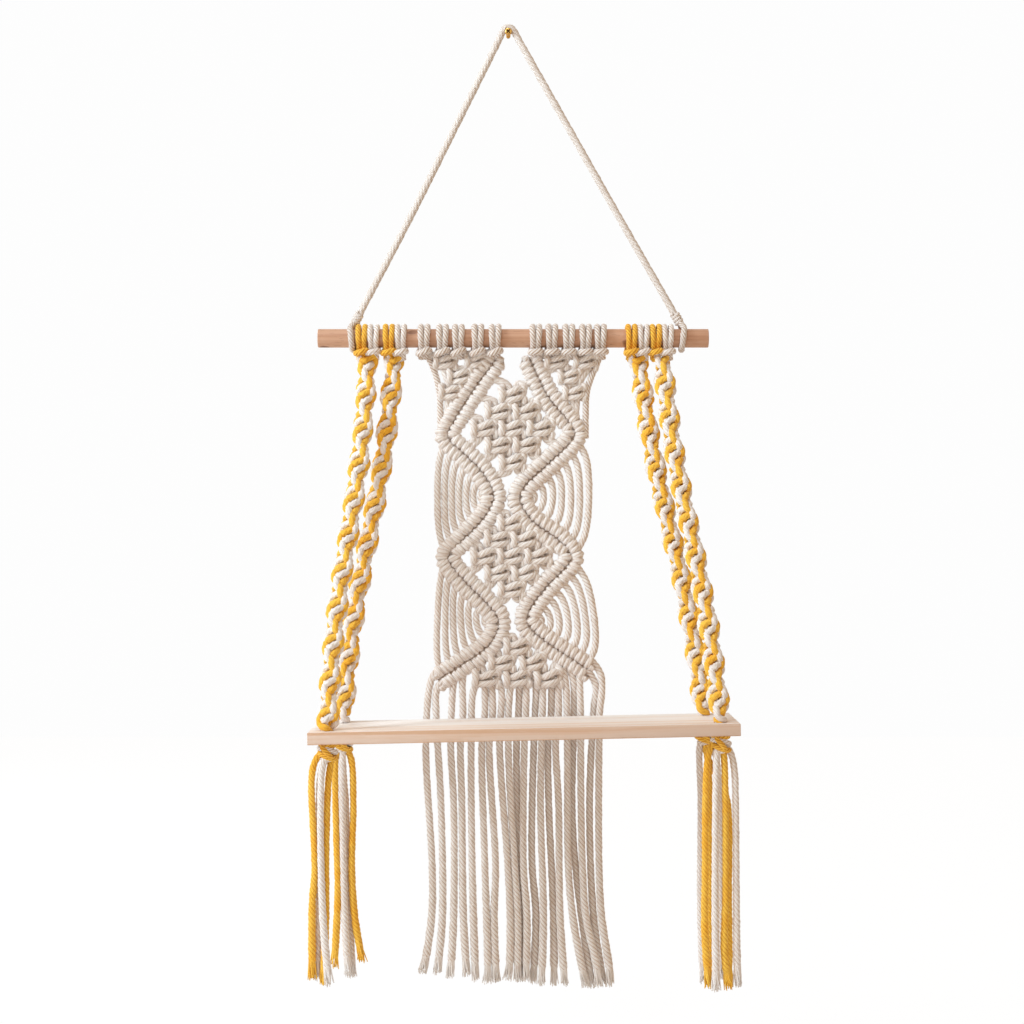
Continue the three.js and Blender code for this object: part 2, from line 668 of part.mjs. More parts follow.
function topGroup(side) {
  const { headShares, knotShares, ridgeShares, edgeShares } = topGroups[side];
  const heads = headShares.map((share) => [share, headRowShare]);
  const ways = [
    ...headToHead.map(([a, b]) => [heads[a], heads[b]]),
    ...headToKnot.map(([a, b]) => [heads[a], knotShares[b]]),
    ...knotToKnot.map(([a, b]) => [knotShares[a], knotShares[b]]),
    ...knotToRidge.map(([a, b]) => [knotShares[a], ridgeShares[b]]),
    ...edgeShares.slice(1).map((share, i) => [edgeShares[i], share]),
  ];
  return join([
    ...headShares.map((share) => larksHead(panelPoint([share, 0]).x)),
    ...ways.map(([from, to]) => bar(panelPoint(from), panelPoint(to), 0)),
    ...knotShares.map((share) => squareKnot(panelPoint(share), 0)),
  ]);
}

function makePanel() {
  const sides = ["left", "right"];
  const outer = sides.map((side) => outerRidge(side, seatGap));
  const inner = sides.map((side) => ridgeTube(side, false, seatGap));
  const ridges = join([...outer, ...inner]);
  const region = innerRegion();
  const meshes = [];
  for (const side of sides) {
    meshes.push(makeMesh("panel_heads_" + side, toGeometry(topGroup(side).subtract(ridges)), "cream"));
    meshes.push(makeMesh("panel_outer_ridge_" + side, toGeometry(outerRidge(side, 0)), "cream"));
    meshes.push(makeMesh("panel_inner_ridge_" + side, toGeometry(ridgeTube(side, false, 0)), "cream"));
  }
  for (const [name, net] of Object.entries(nets)) {
    const kept = netSolid(net, 0).intersect(region).subtract(join(inner));
    meshes.push(makeMesh(name, toGeometry(kept), "cream"));
  }
  const lowerNet = netSolid(nets.net_lower, seatGap).intersect(region);
  meshes.push(...makeFringe(ridges.add(lowerNet)));
  return meshes;
}

// Fringe and tassels

function makeFringe(knotwork) {
  const anchor = dowelCentre.clone();
  anchor.z -= panelLength;
  return fringeRoutes.map((route, i) => {
    const points = toVectors(route).map((point) => point.add(anchor));
    const cord = tube(points, cordDiameter, cordSides).subtract(knotwork);
    return makeMesh("fringe_cord_" + String(i + 1).padStart(2, "0"), toGeometry(cord), "cream");
  });
}

function makeTassel(sennit) {
  const knot = holePlace(sennit, -stopKnotDrop).applyMatrix4(shelf.matrix);
  const seatBall = ball(stopKnotDiameter + 2 * seatGap, knotSeatSides, knotSeatRings);
  const seat = toSolid(seatBall.translate(knot.x, knot.y, knot.z));
  return tasselRoutes[sennit.place].map((route, i) => {
    const points = toVectors(route).map((point) => point.add(knot));
    const cord = tube(points, cordDiameter, cordSides).subtract(seat);
    const name = "tassel_cord_" + sennit.place + "_" + (i + 1);
    return makeMesh(name, toGeometry(cord), tasselFinishes[sennit.place][i]);
  });
}

// The whole shelf

const hangingRopeShelf = new THREE.Group();
hangingRopeShelf.add(makeScrew(), makeDowel(), makeHangerCord());
hangingRopeShelf.add(
  makeHangerKnot("hanger_knot_left", hangerLoopShares[0]),
  makeHangerKnot("hanger_knot_right", hangerLoopShares[1]),
);
shelf.add(makeBoard(), ...sennits.map(makeStopKnot));
hangingRopeShelf.add(shelf, ...sennits.map(makeSennit), ...sennits.flatMap(makeTassel), ...makePanel());

export default hangingRopeShelf;
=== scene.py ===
# %% [markdown]
# # A hanging rope shelf
# A wooden rod hangs on a wall screw by one rope. From the rod hang a knotted rope panel with a fringe, and
# four twisted ropes that carry a small board. Every rope is the same 6 mm twisted cotton cord, so most of
# this lesson is about one thing: laying a twisted cord along a path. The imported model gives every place.

# %% Load the frame
import math

import bpy
import numpy as np
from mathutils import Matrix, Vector
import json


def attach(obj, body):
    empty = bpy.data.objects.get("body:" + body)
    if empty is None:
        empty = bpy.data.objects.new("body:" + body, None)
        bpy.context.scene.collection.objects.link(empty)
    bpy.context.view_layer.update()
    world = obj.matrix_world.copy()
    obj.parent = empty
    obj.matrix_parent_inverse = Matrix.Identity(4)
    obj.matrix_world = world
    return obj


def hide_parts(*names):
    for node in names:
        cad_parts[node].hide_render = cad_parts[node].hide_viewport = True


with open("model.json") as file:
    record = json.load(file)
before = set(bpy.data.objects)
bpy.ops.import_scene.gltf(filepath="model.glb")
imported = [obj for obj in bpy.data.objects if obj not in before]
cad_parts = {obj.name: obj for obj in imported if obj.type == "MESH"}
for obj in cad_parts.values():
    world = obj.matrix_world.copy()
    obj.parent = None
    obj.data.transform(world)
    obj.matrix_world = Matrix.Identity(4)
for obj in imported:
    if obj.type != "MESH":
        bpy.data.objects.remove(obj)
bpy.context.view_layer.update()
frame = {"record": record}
bpy.ops.object.select_all(action="DESELECT")
BODIES = frame["record"]["behaviour"]["bodies"]
BODY_OF = {node: body for body, nodes in BODIES.items() for node in nodes}
MM = 0.001
rng = np.random.default_rng(7)

# %% [markdown]
# ## Camera, floor and light
# The photograph was taken straight on, level, with a long lens. A level camera keeps the ropes parallel, and
# 83 mm on a 36 mm sensor at 2.4 m gives the same slight view onto the board's top.

# %% Camera
CAMERA_PLACE = (0.0038, -2.438, -0.494)
CAMERA_LENS = 83.07

camera_data = bpy.data.cameras.new("camera")
camera_data.lens = CAMERA_LENS
camera = bpy.data.objects.new("camera", camera_data)
camera.location = CAMERA_PLACE
camera.rotation_euler = (math.pi / 2, 0, 0)
bpy.context.scene.collection.objects.link(camera)
bpy.context.scene.camera = camera
print("camera:", CAMERA_LENS, "mm lens at", CAMERA_PLACE)

# %% [markdown]
# The light is soft and comes from the upper left, so each cord is bright on its left side and warm on its
# right. The world looks white to the camera and to reflections. It lights the ropes at a lower strength and
# warmer, as a beige wall would. The lamps are cool, which brings the lit sides back to neutral, and a weak
# lamp behind the shelf keeps its back readable.

# %% Lights and world
LAMPS = {
    "key_lamp": {"place": (-2.6, -1.3, 0.55), "size": 0.8, "power": 65.0},
    "fill_lamp": {"place": (1.4, -2.6, -0.2), "size": 1.8, "power": 4.3},
    "top_lamp": {"place": (-0.8, -1.5, 2.1), "size": 1.0, "power": 38.0},
    "back_lamp": {"place": (-1.5, 2.4, 0.5), "size": 1.2, "power": 21.0},
}
LAMP_COLOUR = (0.74, 0.9, 1.0)
LAMP_TARGET = Vector((0, -0.05, -0.5))
WORLD_LIGHT = 0.46
WORLD_SEEN = 0.985
WORLD_TINT = (1.0, 0.66, 0.34, 1)
SEEN_RAYS = ["Is Camera Ray", "Is Glossy Ray", "Is Transmission Ray"]

for name, lamp in LAMPS.items():
    data = bpy.data.lights.new(name, "AREA")
    data.size = lamp["size"]
    data.energy = lamp["power"]
    data.color = LAMP_COLOUR
    lamp_object = bpy.data.objects.new(name, data)
    lamp_object.location = lamp["place"]
    lamp_object.rotation_euler = (LAMP_TARGET - lamp_object.location).to_track_quat("-Z", "Y").to_euler()
    bpy.context.scene.collection.objects.link(lamp_object)

world = bpy.data.worlds.new("studio")
bpy.context.scene.world = world
world.use_nodes = True
bpy.context.scene.view_settings.view_transform = "Standard"
print("lamps:", *LAMPS)

# %% [markdown]
# ## Shader sums in Python
# Materials read more easily as sums than as node calls. `Wire` holds one output of a node and adds a Math
# node for each operator, and `Finish` makes any other node from its type, its settings and its inputs.

# %% Shader helpers
class Wire:
    def __init__(self, finish, socket):
        self.finish = finish
        self.socket = socket

    def math(self, operation, first, second):
        return self.finish.node("ShaderNodeMath", 0, {"operation": operation}, {0: first, 1: second})

    def __add__(self, other):
        return self.math("ADD", self, other)

    def __sub__(self, other):
        return self.math("SUBTRACT", self, other)

    def __rsub__(self, other):
        return self.math("SUBTRACT", other, self)

    def __mul__(self, other):
        return self.math("MULTIPLY", self, other)

    __radd__ = __add__
    __rmul__ = __mul__


class Finish:
    def __init__(self, name, tree=None):
        if tree is None:
            self.material = bpy.data.materials.new(name)
            self.material.use_nodes = True
            tree = self.material.node_tree
            self.shader = tree.nodes["Principled BSDF"]
        self.tree = tree

    def feed(self, socket, value):
        if isinstance(value, Wire):
            self.tree.links.new(value.socket, socket)
        else:
            socket.default_value = value

    def node(self, kind, output=0, settings=None, inputs=None):
        node = self.tree.nodes.new(kind)
        for key, value in (settings or {}).items():
            if key == "stops":
                self.set_stops(node.color_ramp.elements, value)
            else:
                setattr(node, key, value)
        for key, value in (inputs or {}).items():
            self.feed(node.inputs[key], value)
        return Wire(self, node.outputs[output])

    def set_stops(self, elements, stops):
        for i, (place, colour) in enumerate(stops):
            element = elements[i] if i < 2 else elements.new(place)
            element.position = place
            element.color = colour

    def noise(self, where, scale, detail=2.0, roughness=0.5):
        inputs = {"Vector": where, "Scale": scale, "Detail": detail, "Roughness": roughness}
        return self.node("ShaderNodeTexNoise", "Fac", None, inputs)

    def ramp(self, value, stops):
        return self.node("ShaderNodeValToRGB", "Color", {"stops": stops}, {"Fac": value})

    def level(self, value, low, high):
        settings = {"interpolation_type": "SMOOTHSTEP"}
        inputs = {"Value": value, "From Min": low, "From Max": high}
        return self.node("ShaderNodeMapRange", "Result", settings, inputs)

    def grain(self, where, factors, detail=1.0, roughness=0.5):
        """Noise that is squeezed along each axis by its own factor."""
        return self.noise(self.stretch(where, factors), 1.0, detail, roughness)

    def mix(self, share, first, second):
        return self.node("ShaderNodeMix", 2, {"data_type": "RGBA"}, {0: share, 6: first, 7: second})

    def stretch(self, where, factors):
        settings = {"operation": "MULTIPLY"}
        return self.node("ShaderNodeVectorMath", 0, settings, {0: where, 1: factors})

    def attribute(self, name, output):
        return self.node("ShaderNodeAttribute", output, {"attribute_name": name})

    def object_place(self):
        return self.node("ShaderNodeTexCoord", "Object")

    def axis(self, name):
        """How far a point lies along X, Y or Z."""
        return self.node("ShaderNodeSeparateXYZ", name, None, {"Vector": self.object_place()})

    def bump(self, height, distance, strength):
        inputs = {"Height": height, "Distance": distance, "Strength": strength}
        self.set("Normal", self.node("ShaderNodeBump", "Normal", None, inputs))

    def set(self, socket_name, value):
        self.feed(self.shader.inputs[socket_name], value)

# %% [markdown]
# Colours are written as they look on a screen. The sky is one white for the camera, mirrors and glass, and
# another, dimmer and warmer one for all that it lights. A ray's kind decides, as a mask between the two.

# %% Sky
def opaque(*screen):
    """An 8-bit screen colour as the linear colour that a shader takes."""
    shares = [value / 255 for value in screen]
    return (*[s / 12.92 if s <= 0.04045 else ((s + 0.055) / 1.055) ** 2.4 for s in shares], 1)


sky = Finish("sky", world.node_tree)
seen = sky.node("ShaderNodeLightPath", SEEN_RAYS[0])
for name in SEEN_RAYS[1:]:
    seen = seen.math("MAXIMUM", seen, sky.node("ShaderNodeLightPath", name))
background = world.node_tree.nodes["Background"]
sky.feed(background.inputs["Color"], sky.mix(seen, WORLD_TINT, (1, 1, 1, 1)))
sky.feed(background.inputs["Strength"], seen * (WORLD_SEEN - WORLD_LIGHT) + WORLD_LIGHT)
print("sky:", len(world.node_tree.nodes), "nodes")

# %% [markdown]
# The floor lies below the fringe. To the camera it is nearly white, and the rest of its light is diffuse, so
# that it still shows the shelf's soft shadow.

# %% Floor
FLOOR_HEIGHT = -1.06
FLOOR_SIZE = 7.0
FLOOR_PAINT = (0.92, 0.92, 0.92, 1)
FLOOR_SEEN = 1.015
FLOOR_GLOW = 0.96

bpy.ops.mesh.primitive_grid_add(x_subdivisions=2, y_subdivisions=2, size=FLOOR_SIZE)
floor = bpy.context.object
floor.name = "floor"
for corner in floor.data.vertices:
    corner.co.z = FLOOR_HEIGHT
floor_finish = Finish("floor_paint")
floor_finish.set("Base Color", FLOOR_PAINT)
floor_finish.set("Roughness", 0.9)
floor_finish.set("Specular IOR Level", 0.1)
share = floor_finish.node("ShaderNodeLightPath", "Is Camera Ray") * FLOOR_GLOW
plain = Wire(floor_finish, floor_finish.shader.outputs[0])
glow = floor_finish.node("ShaderNodeEmission", 0, None, {"Strength": FLOOR_SEEN})
surface = floor_finish.node("ShaderNodeMixShader", 0, None, {0: share, 1: plain, 2: glow})
floor_finish.feed(floor_finish.tree.nodes["Material Output"].inputs["Surface"], surface)
floor.data.materials.append(floor_finish.material)
floor.select_set(False)
print("floor:", FLOOR_SIZE, "m wide, at", FLOOR_HEIGHT, "m")

# %% [markdown]
# ## Cotton cord finish
# Each point of a cord knows where it lies in the straight, untwisted cord (`lay`) and how deep it is between
# two strands (`groove`). Noise that is stretched along `lay` gives fibres that follow every bend. The grooves
# get painted shade: the deeper a point lies, the more it takes of a brown shade colour, and the fibre streaks
# take a little of that colour too.

# %% Cord finishes
# For each colour: the cord's own colour, a stain for random patches, and the painted shade of its grooves.
COTTON = {
    "cream": {"lit": (244, 241, 240), "stain": (236, 229, 225), "groove_shade": (170, 126, 88)},
    "white": {"lit": (248, 246, 247), "stain": (241, 236, 235), "groove_shade": (195, 163, 136)},
    "natural": {"lit": (236, 231, 229), "stain": (227, 219, 215), "groove_shade": (184, 154, 130)},
    "yellow": {"lit": (255, 211, 88), "stain": (252, 190, 56), "groove_shade": (196, 104, 8)},
}
FIBRE_STRETCH = (1, 1, 0.08)


def cord_finish(colour):
    lit, stain, groove_shade = [opaque(*COTTON[colour][name]) for name in ("lit", "stain", "groove_shade")]
    finish = Finish(colour + "_cotton")
    lay = finish.stretch(finish.attribute("lay", "Vector"), FIBRE_STRETCH)
    fibre = finish.noise(lay, 2600, 3.0, 0.6)
    fuzz = finish.noise(finish.object_place(), 900)
    patch = finish.level(finish.noise(finish.object_place(), 45), 0.42, 0.68)
    depth = finish.attribute("groove", "Fac")
    tint = finish.attribute("tint", "Fac")
    shade = finish.mix(patch * 0.55 + tint * 0.35, lit, stain)
    shade = finish.mix(finish.level(fibre, 0.62, 0.36) * 0.30, shade, groove_shade)
    # Painted shade: the deeper a point lies between strands, the more it takes the shade colour.
    finish.set("Base Color", finish.mix(finish.level(depth, 0.15, 1.0) * 0.85, shade, groove_shade))
    finish.set("Roughness", finish.level(fibre, 0.3, 0.7) * 0.12 + 0.82)
    finish.set("Specular IOR Level", 0.25)
    finish.set("Sheen Weight", 0.18)
    finish.set("Sheen Roughness", 0.5)
    finish.bump(fibre * 0.75 + fuzz * 0.25, 0.00035, 0.9)
    return finish.material


cord_materials = {colour: cord_finish(colour) for colour in COTTON}
print("cord finishes:", *cord_materials)

# %% [markdown]
# ## Laying a cord along a path
# A cord is five strands twisted together. Its section is a circle with five bumps, and the section turns as
# it moves along the path. A mesh tube does this better than a bevelled curve, because each ring can carry
# its own width and the two attributes above. Paths are smoothed with the same curve as the frame's cords.
# `TWISTS` says how long one turn of a strand is and how deep the grooves are. Both differ with the pull on a
# cord: the hanger and the hitches are pulled tight, so their turns are long and their grooves shallow.

# %% Paths
STRANDS = 5
SIDES = 4 * STRANDS
RING_STEP = 1.5 * MM
FULL_DEPTH = 0.24
TWISTS = {
    "plain": {"lay": 19 * MM, "depth": FULL_DEPTH},
    "hanging": {"lay": 24 * MM, "depth": 0.18},
    "coil": {"lay": 19 * MM, "depth": 0.14},
    "knot": {"lay": 26 * MM, "depth": 0.14},
    "sennit": {"lay": 30 * MM, "depth": 0.12},
    "hanger": {"lay": 32 * MM, "depth": 0.14},
    "wrap": {"lay": 42 * MM, "depth": 0.14},
}
SAMPLES_PER_SPAN = 14
WOBBLE = 0.07
WOBBLE_LENGTHS = np.array([11, 17, 29]) * MM


def smooth_path(points, step=RING_STEP):
    """A smooth path through the points, with an even step."""
    p = np.asarray(points, float)
    p = np.vstack([2 * p[0] - p[1], p, 2 * p[-1] - p[-2]])
    gaps = np.maximum(np.linalg.norm(np.diff(p, axis=0), axis=1) ** 0.5, 1e-6)
    t = np.linspace(0, 1, SAMPLES_PER_SPAN, endpoint=False)[:, None]
    spans = []
    for i in range(1, len(p) - 2):
        a, b, c = gaps[i - 1], gaps[i], gaps[i + 1]
        leave = ((p[i] - p[i - 1]) / a - (p[i + 1] - p[i - 1]) / (a + b) + (p[i + 1] - p[i]) / b) * b
        arrive = ((p[i + 1] - p[i]) / b - (p[i + 2] - p[i]) / (b + c) + (p[i + 2] - p[i + 1]) / c) * b
        square = -3 * p[i] + 3 * p[i + 1] - 2 * leave - arrive
        cube = 2 * p[i] - 2 * p[i + 1] + leave + arrive
        spans.append(p[i] + leave * t + square * t**2 + cube * t**3)
    return even_path(np.vstack([*spans, p[-2]]), step)


def path_length(path):
    return float(np.linalg.norm(np.diff(path, axis=0), axis=1).sum())


def even_path(path, step=RING_STEP):
    reach = np.concatenate([[0], np.cumsum(np.linalg.norm(np.diff(path, axis=0), axis=1))])
    places = np.linspace(0, reach[-1], max(3, round(reach[-1] / step) + 1))
    return np.column_stack([np.interp(places, reach, path[:, axis]) for axis in range(3)])


def path_frames(path):
    """The direction of a path at each point, and two directions across it that don't turn about it."""
    along = np.gradient(path, axis=0)
    along /= np.linalg.norm(along, axis=1)[:, None]
    across = np.empty_like(along)
    previous = np.array([0.0, -1.0, 0.0]) if abs(along[0][1]) < 0.9 else np.array([1.0, 0.0, 0.0])
    for i, direction in enumerate(along):
        previous = previous - direction * (previous @ direction)
        previous = previous / np.linalg.norm(previous)
        across[i] = previous
    return along, across, np.cross(along, across)


def rings_round(path, radii, angles):
    """A ring of points round each point of a path."""
    _, across, over = path_frames(path)
    right = across[:, None, :] * (radii * np.cos(angles))[:, :, None]
    return path[:, None, :] + right + over[:, None, :] * (radii * np.sin(angles))[:, :, None]

# %% [markdown]
# Many cords make one piece. Their tubes go into one mesh, each with its own tint, and the mesh is built from
# lists of points, because a knot is easier to read and to mend as a table of places than as extrusions.

# %% Cord meshes
YARN_SIDES = 5
YARN_STEP = 2.2 * MM
YARN_WIDTH = 2.0 * MM
YARN_TIP = 0.9 * MM
# Painted shade along each yarn: strong at its root by the cord, faint at its tip.
YARN_ROOT_SHADE = (0.45, 0.05)


class Ropework:
    """Collects cords and makes them one piece."""

    def __init__(self, name):
        self.name = name
        self.corners, self.faces, self.face_colours, self.colours = [], [], [], []
        self.lays, self.grooves, self.tints = [], [], []
        self.count = 0

    def add_rings(self, rings, lays, grooves, colour):
        """A closed tube through rings of points."""
        ring_count, sides = rings.shape[:2]
        if colour not in self.colours:
            self.colours.append(colour)
        start = self.count + sides * np.arange(ring_count - 1)[:, None]
        side = np.arange(sides)[None, :]
        after = (side + 1) % sides
        quads = [start + side, start + after, start + sides + after, start + sides + side]
        last = self.count + sides * (ring_count - 1)
        faces = np.stack(quads, axis=-1).reshape(-1, 4).tolist()
        faces.append(list(range(self.count + sides - 1, self.count - 1, -1)))
        faces.append(list(range(last, last + sides)))
        self.faces.extend(faces)
        self.face_colours.extend([self.colours.index(colour)] * len(faces))
        self.corners.append(rings.reshape(-1, 3))
        self.lays.append(lays.reshape(-1, 3))
        self.grooves.append(grooves.reshape(-1))
        self.tints.append(np.full(ring_count * sides, rng.random()))
        self.count += ring_count * sides

    def cord(self, path, diameter, colour="cream", twist="plain", widths=1, turn=None):
        """A twisted cord along an even path. widths scales each ring."""
        lay, depth = TWISTS[twist]["lay"], TWISTS[twist]["depth"]
        reach = np.linspace(0, path_length(path), len(path))[:, None]
        strand = 2 * np.pi * np.arange(SIDES) / SIDES
        bump = np.abs(np.cos(strand * STRANDS / 2))
        radius = diameter / 2 * (1 - depth * (1 - bump))
        first_turn = rng.random() * 2 * np.pi if turn is None else turn
        angles = strand[None, :] - 2 * np.pi * reach / lay + first_turn
        wave = 2 * np.pi * (reach / WOBBLE_LENGTHS + rng.random(len(WOBBLE_LENGTHS)))
        scale = (1 + WOBBLE * np.sin(wave).mean(axis=1)) * widths
        radii = radius[None, :] * scale[:, None]
        untwisted = [radii * np.cos(strand), radii * np.sin(strand), np.broadcast_to(reach, radii.shape)]
        grooves = np.broadcast_to((1 - bump) * depth / FULL_DEPTH, radii.shape)
        self.add_rings(rings_round(path, radii, angles), np.stack(untwisted, -1), grooves, colour)

    def cord_through(self, places, diameter, colour="cream", twist="plain", step=RING_STEP):
        """A twisted cord along a smooth path through places in millimetres."""
        self.cord(smooth_path(np.array(places) * MM, step), diameter, colour, twist)

    def yarn(self, points, colour):
        """A thin tapered yarn of a frayed end."""
        path = smooth_path(points, YARN_STEP)
        angles = 2 * np.pi * np.arange(YARN_SIDES) / YARN_SIDES
        radii = np.linspace(YARN_WIDTH / 2, YARN_TIP / 2, len(path))[:, None]
        rings = rings_round(path, radii, angles)
        reach = np.broadcast_to(np.linspace(0, path_length(path), len(path))[:, None], rings.shape[:2])
        grooves = np.broadcast_to(np.linspace(*YARN_ROOT_SHADE, len(path))[:, None], rings.shape[:2])
        self.add_rings(rings, np.stack([rings[:, :, 0], rings[:, :, 1], reach], -1), grooves, colour)

    def make(self, node):
        """The finished piece, which stands for the node."""
        piece = add_mesh(self.name, np.vstack(self.corners), [], self.faces)
        mesh = piece.data
        mesh.polygons.foreach_set("use_smooth", np.ones(len(mesh.polygons), bool))
        mesh.polygons.foreach_set("material_index", np.array(self.face_colours, np.int32))
        lays = mesh.attributes.new("lay", "FLOAT_VECTOR", "POINT")
        lays.data.foreach_set("vector", np.vstack(self.lays).ravel())
        for name, values in (("groove", self.grooves), ("tint", self.tints)):
            numbers = mesh.attributes.new(name, "FLOAT", "POINT")
            numbers.data.foreach_set("value", np.concatenate(values))
        for colour in self.colours:
            mesh.materials.append(cord_materials[colour])
        mesh.update()
        join_frame(piece, node)
        return piece


def add_mesh(name, corners, edges, faces):
    mesh = bpy.data.meshes.new(name)
    mesh.from_pydata(corners, edges, faces)
    piece = bpy.data.objects.new(name, mesh)
    bpy.context.scene.collection.objects.link(piece)
    return piece


def join_frame(piece, node):
    """Makes a piece ride on its node's body and stand for the node."""
    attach(piece, BODY_OF[node])
    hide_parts(node)
    print(piece.name, "on", BODY_OF[node], "with", len(piece.data.polygons), "faces")

# %% [markdown]
# ## Frayed ends
# The cut end of a cotton cord opens into its yarns. The cord narrows and stops a little early, and thin
# yarns leave its strands, spread and taper. They stay within 5.5 mm of the cord's line. Above the frayed
# end the twist loosens, so the cord swells a little on its last 130 mm.

# %% Cords with frayed ends
FRAY_LENGTH = 20 * MM
FRAY_SPREAD = 5.1 * MM
FRAY_TAPER = [0.97, 0.92, 0.84, 0.72, 0.55]
FRAY_OVERLAP = 3
FRAY_ROOT = 7
FRAY_SWIRL = (0.3, 1.1)
FRAY_REACH = (0.2, 1.0)
FRAY_SHORTER = (0, 5)
FRAY_START = (0.2, 0.42)
FRAY_BELLY = 1.0 * MM
YARNS_PER_STRAND = 4
LOOSE_LENGTH = 130 * MM
LOOSE_GROWTH = 0.2
FRINGE_CORD = 7.5 * MM
TASSEL_CORD = 6.9 * MM


def frayed_cord(work, path, colour, diameter):
    """Lays a cord down a path and opens its last stretch into yarns."""
    cord_rings = len(path) - round(FRAY_LENGTH / RING_STEP) + FRAY_OVERLAP
    body = path[:cord_rings]
    left = np.linspace(path_length(path), FRAY_LENGTH, cord_rings)
    widths = 1 + LOOSE_GROWTH * np.clip(1 - left / LOOSE_LENGTH, 0, 1)
    widths[-len(FRAY_TAPER):] *= FRAY_TAPER
    turn = rng.random() * 2 * np.pi
    work.cord(body, diameter, colour, "hanging", widths, turn)
    along, across, over = path_frames(path)
    end_turn = turn - 2 * np.pi * path_length(body) / TWISTS["hanging"]["lay"]
    root, tip = cord_rings - FRAY_ROOT, len(path) - 1
    for strand in range(STRANDS):
        for yarn in range(YARNS_PER_STRAND):
            place = strand + (yarn - (YARNS_PER_STRAND - 1) / 2) / YARNS_PER_STRAND
            angle = end_turn + 2 * np.pi * place / STRANDS
            swirl = angle - rng.uniform(*FRAY_SWIRL)
            spread = FRAY_SPREAD * rng.uniform(*FRAY_REACH)
            shorter = along[tip] * rng.uniform(*FRAY_SHORTER) * MM
            inward = math.cos(angle) * across[root] + math.sin(angle) * over[root]
            outward = math.cos(swirl) * across[tip] + math.sin(swirl) * over[tip]
            start = path[root] + inward * diameter * rng.uniform(*FRAY_START)
            middle = path[(root + tip) // 2] + (inward + outward) * (0.2 * spread + FRAY_BELLY)
            work.yarn([start, middle, path[tip] + outward * spread - shorter], colour)

# %% [markdown]
# ## Free cords
# The hanger rope, the twenty fringe cords and the sixteen tassel cords are free: they hang from a knot and
# end in the air or in another knot. Their routes are the frame's own, so each lies where its solid lies.

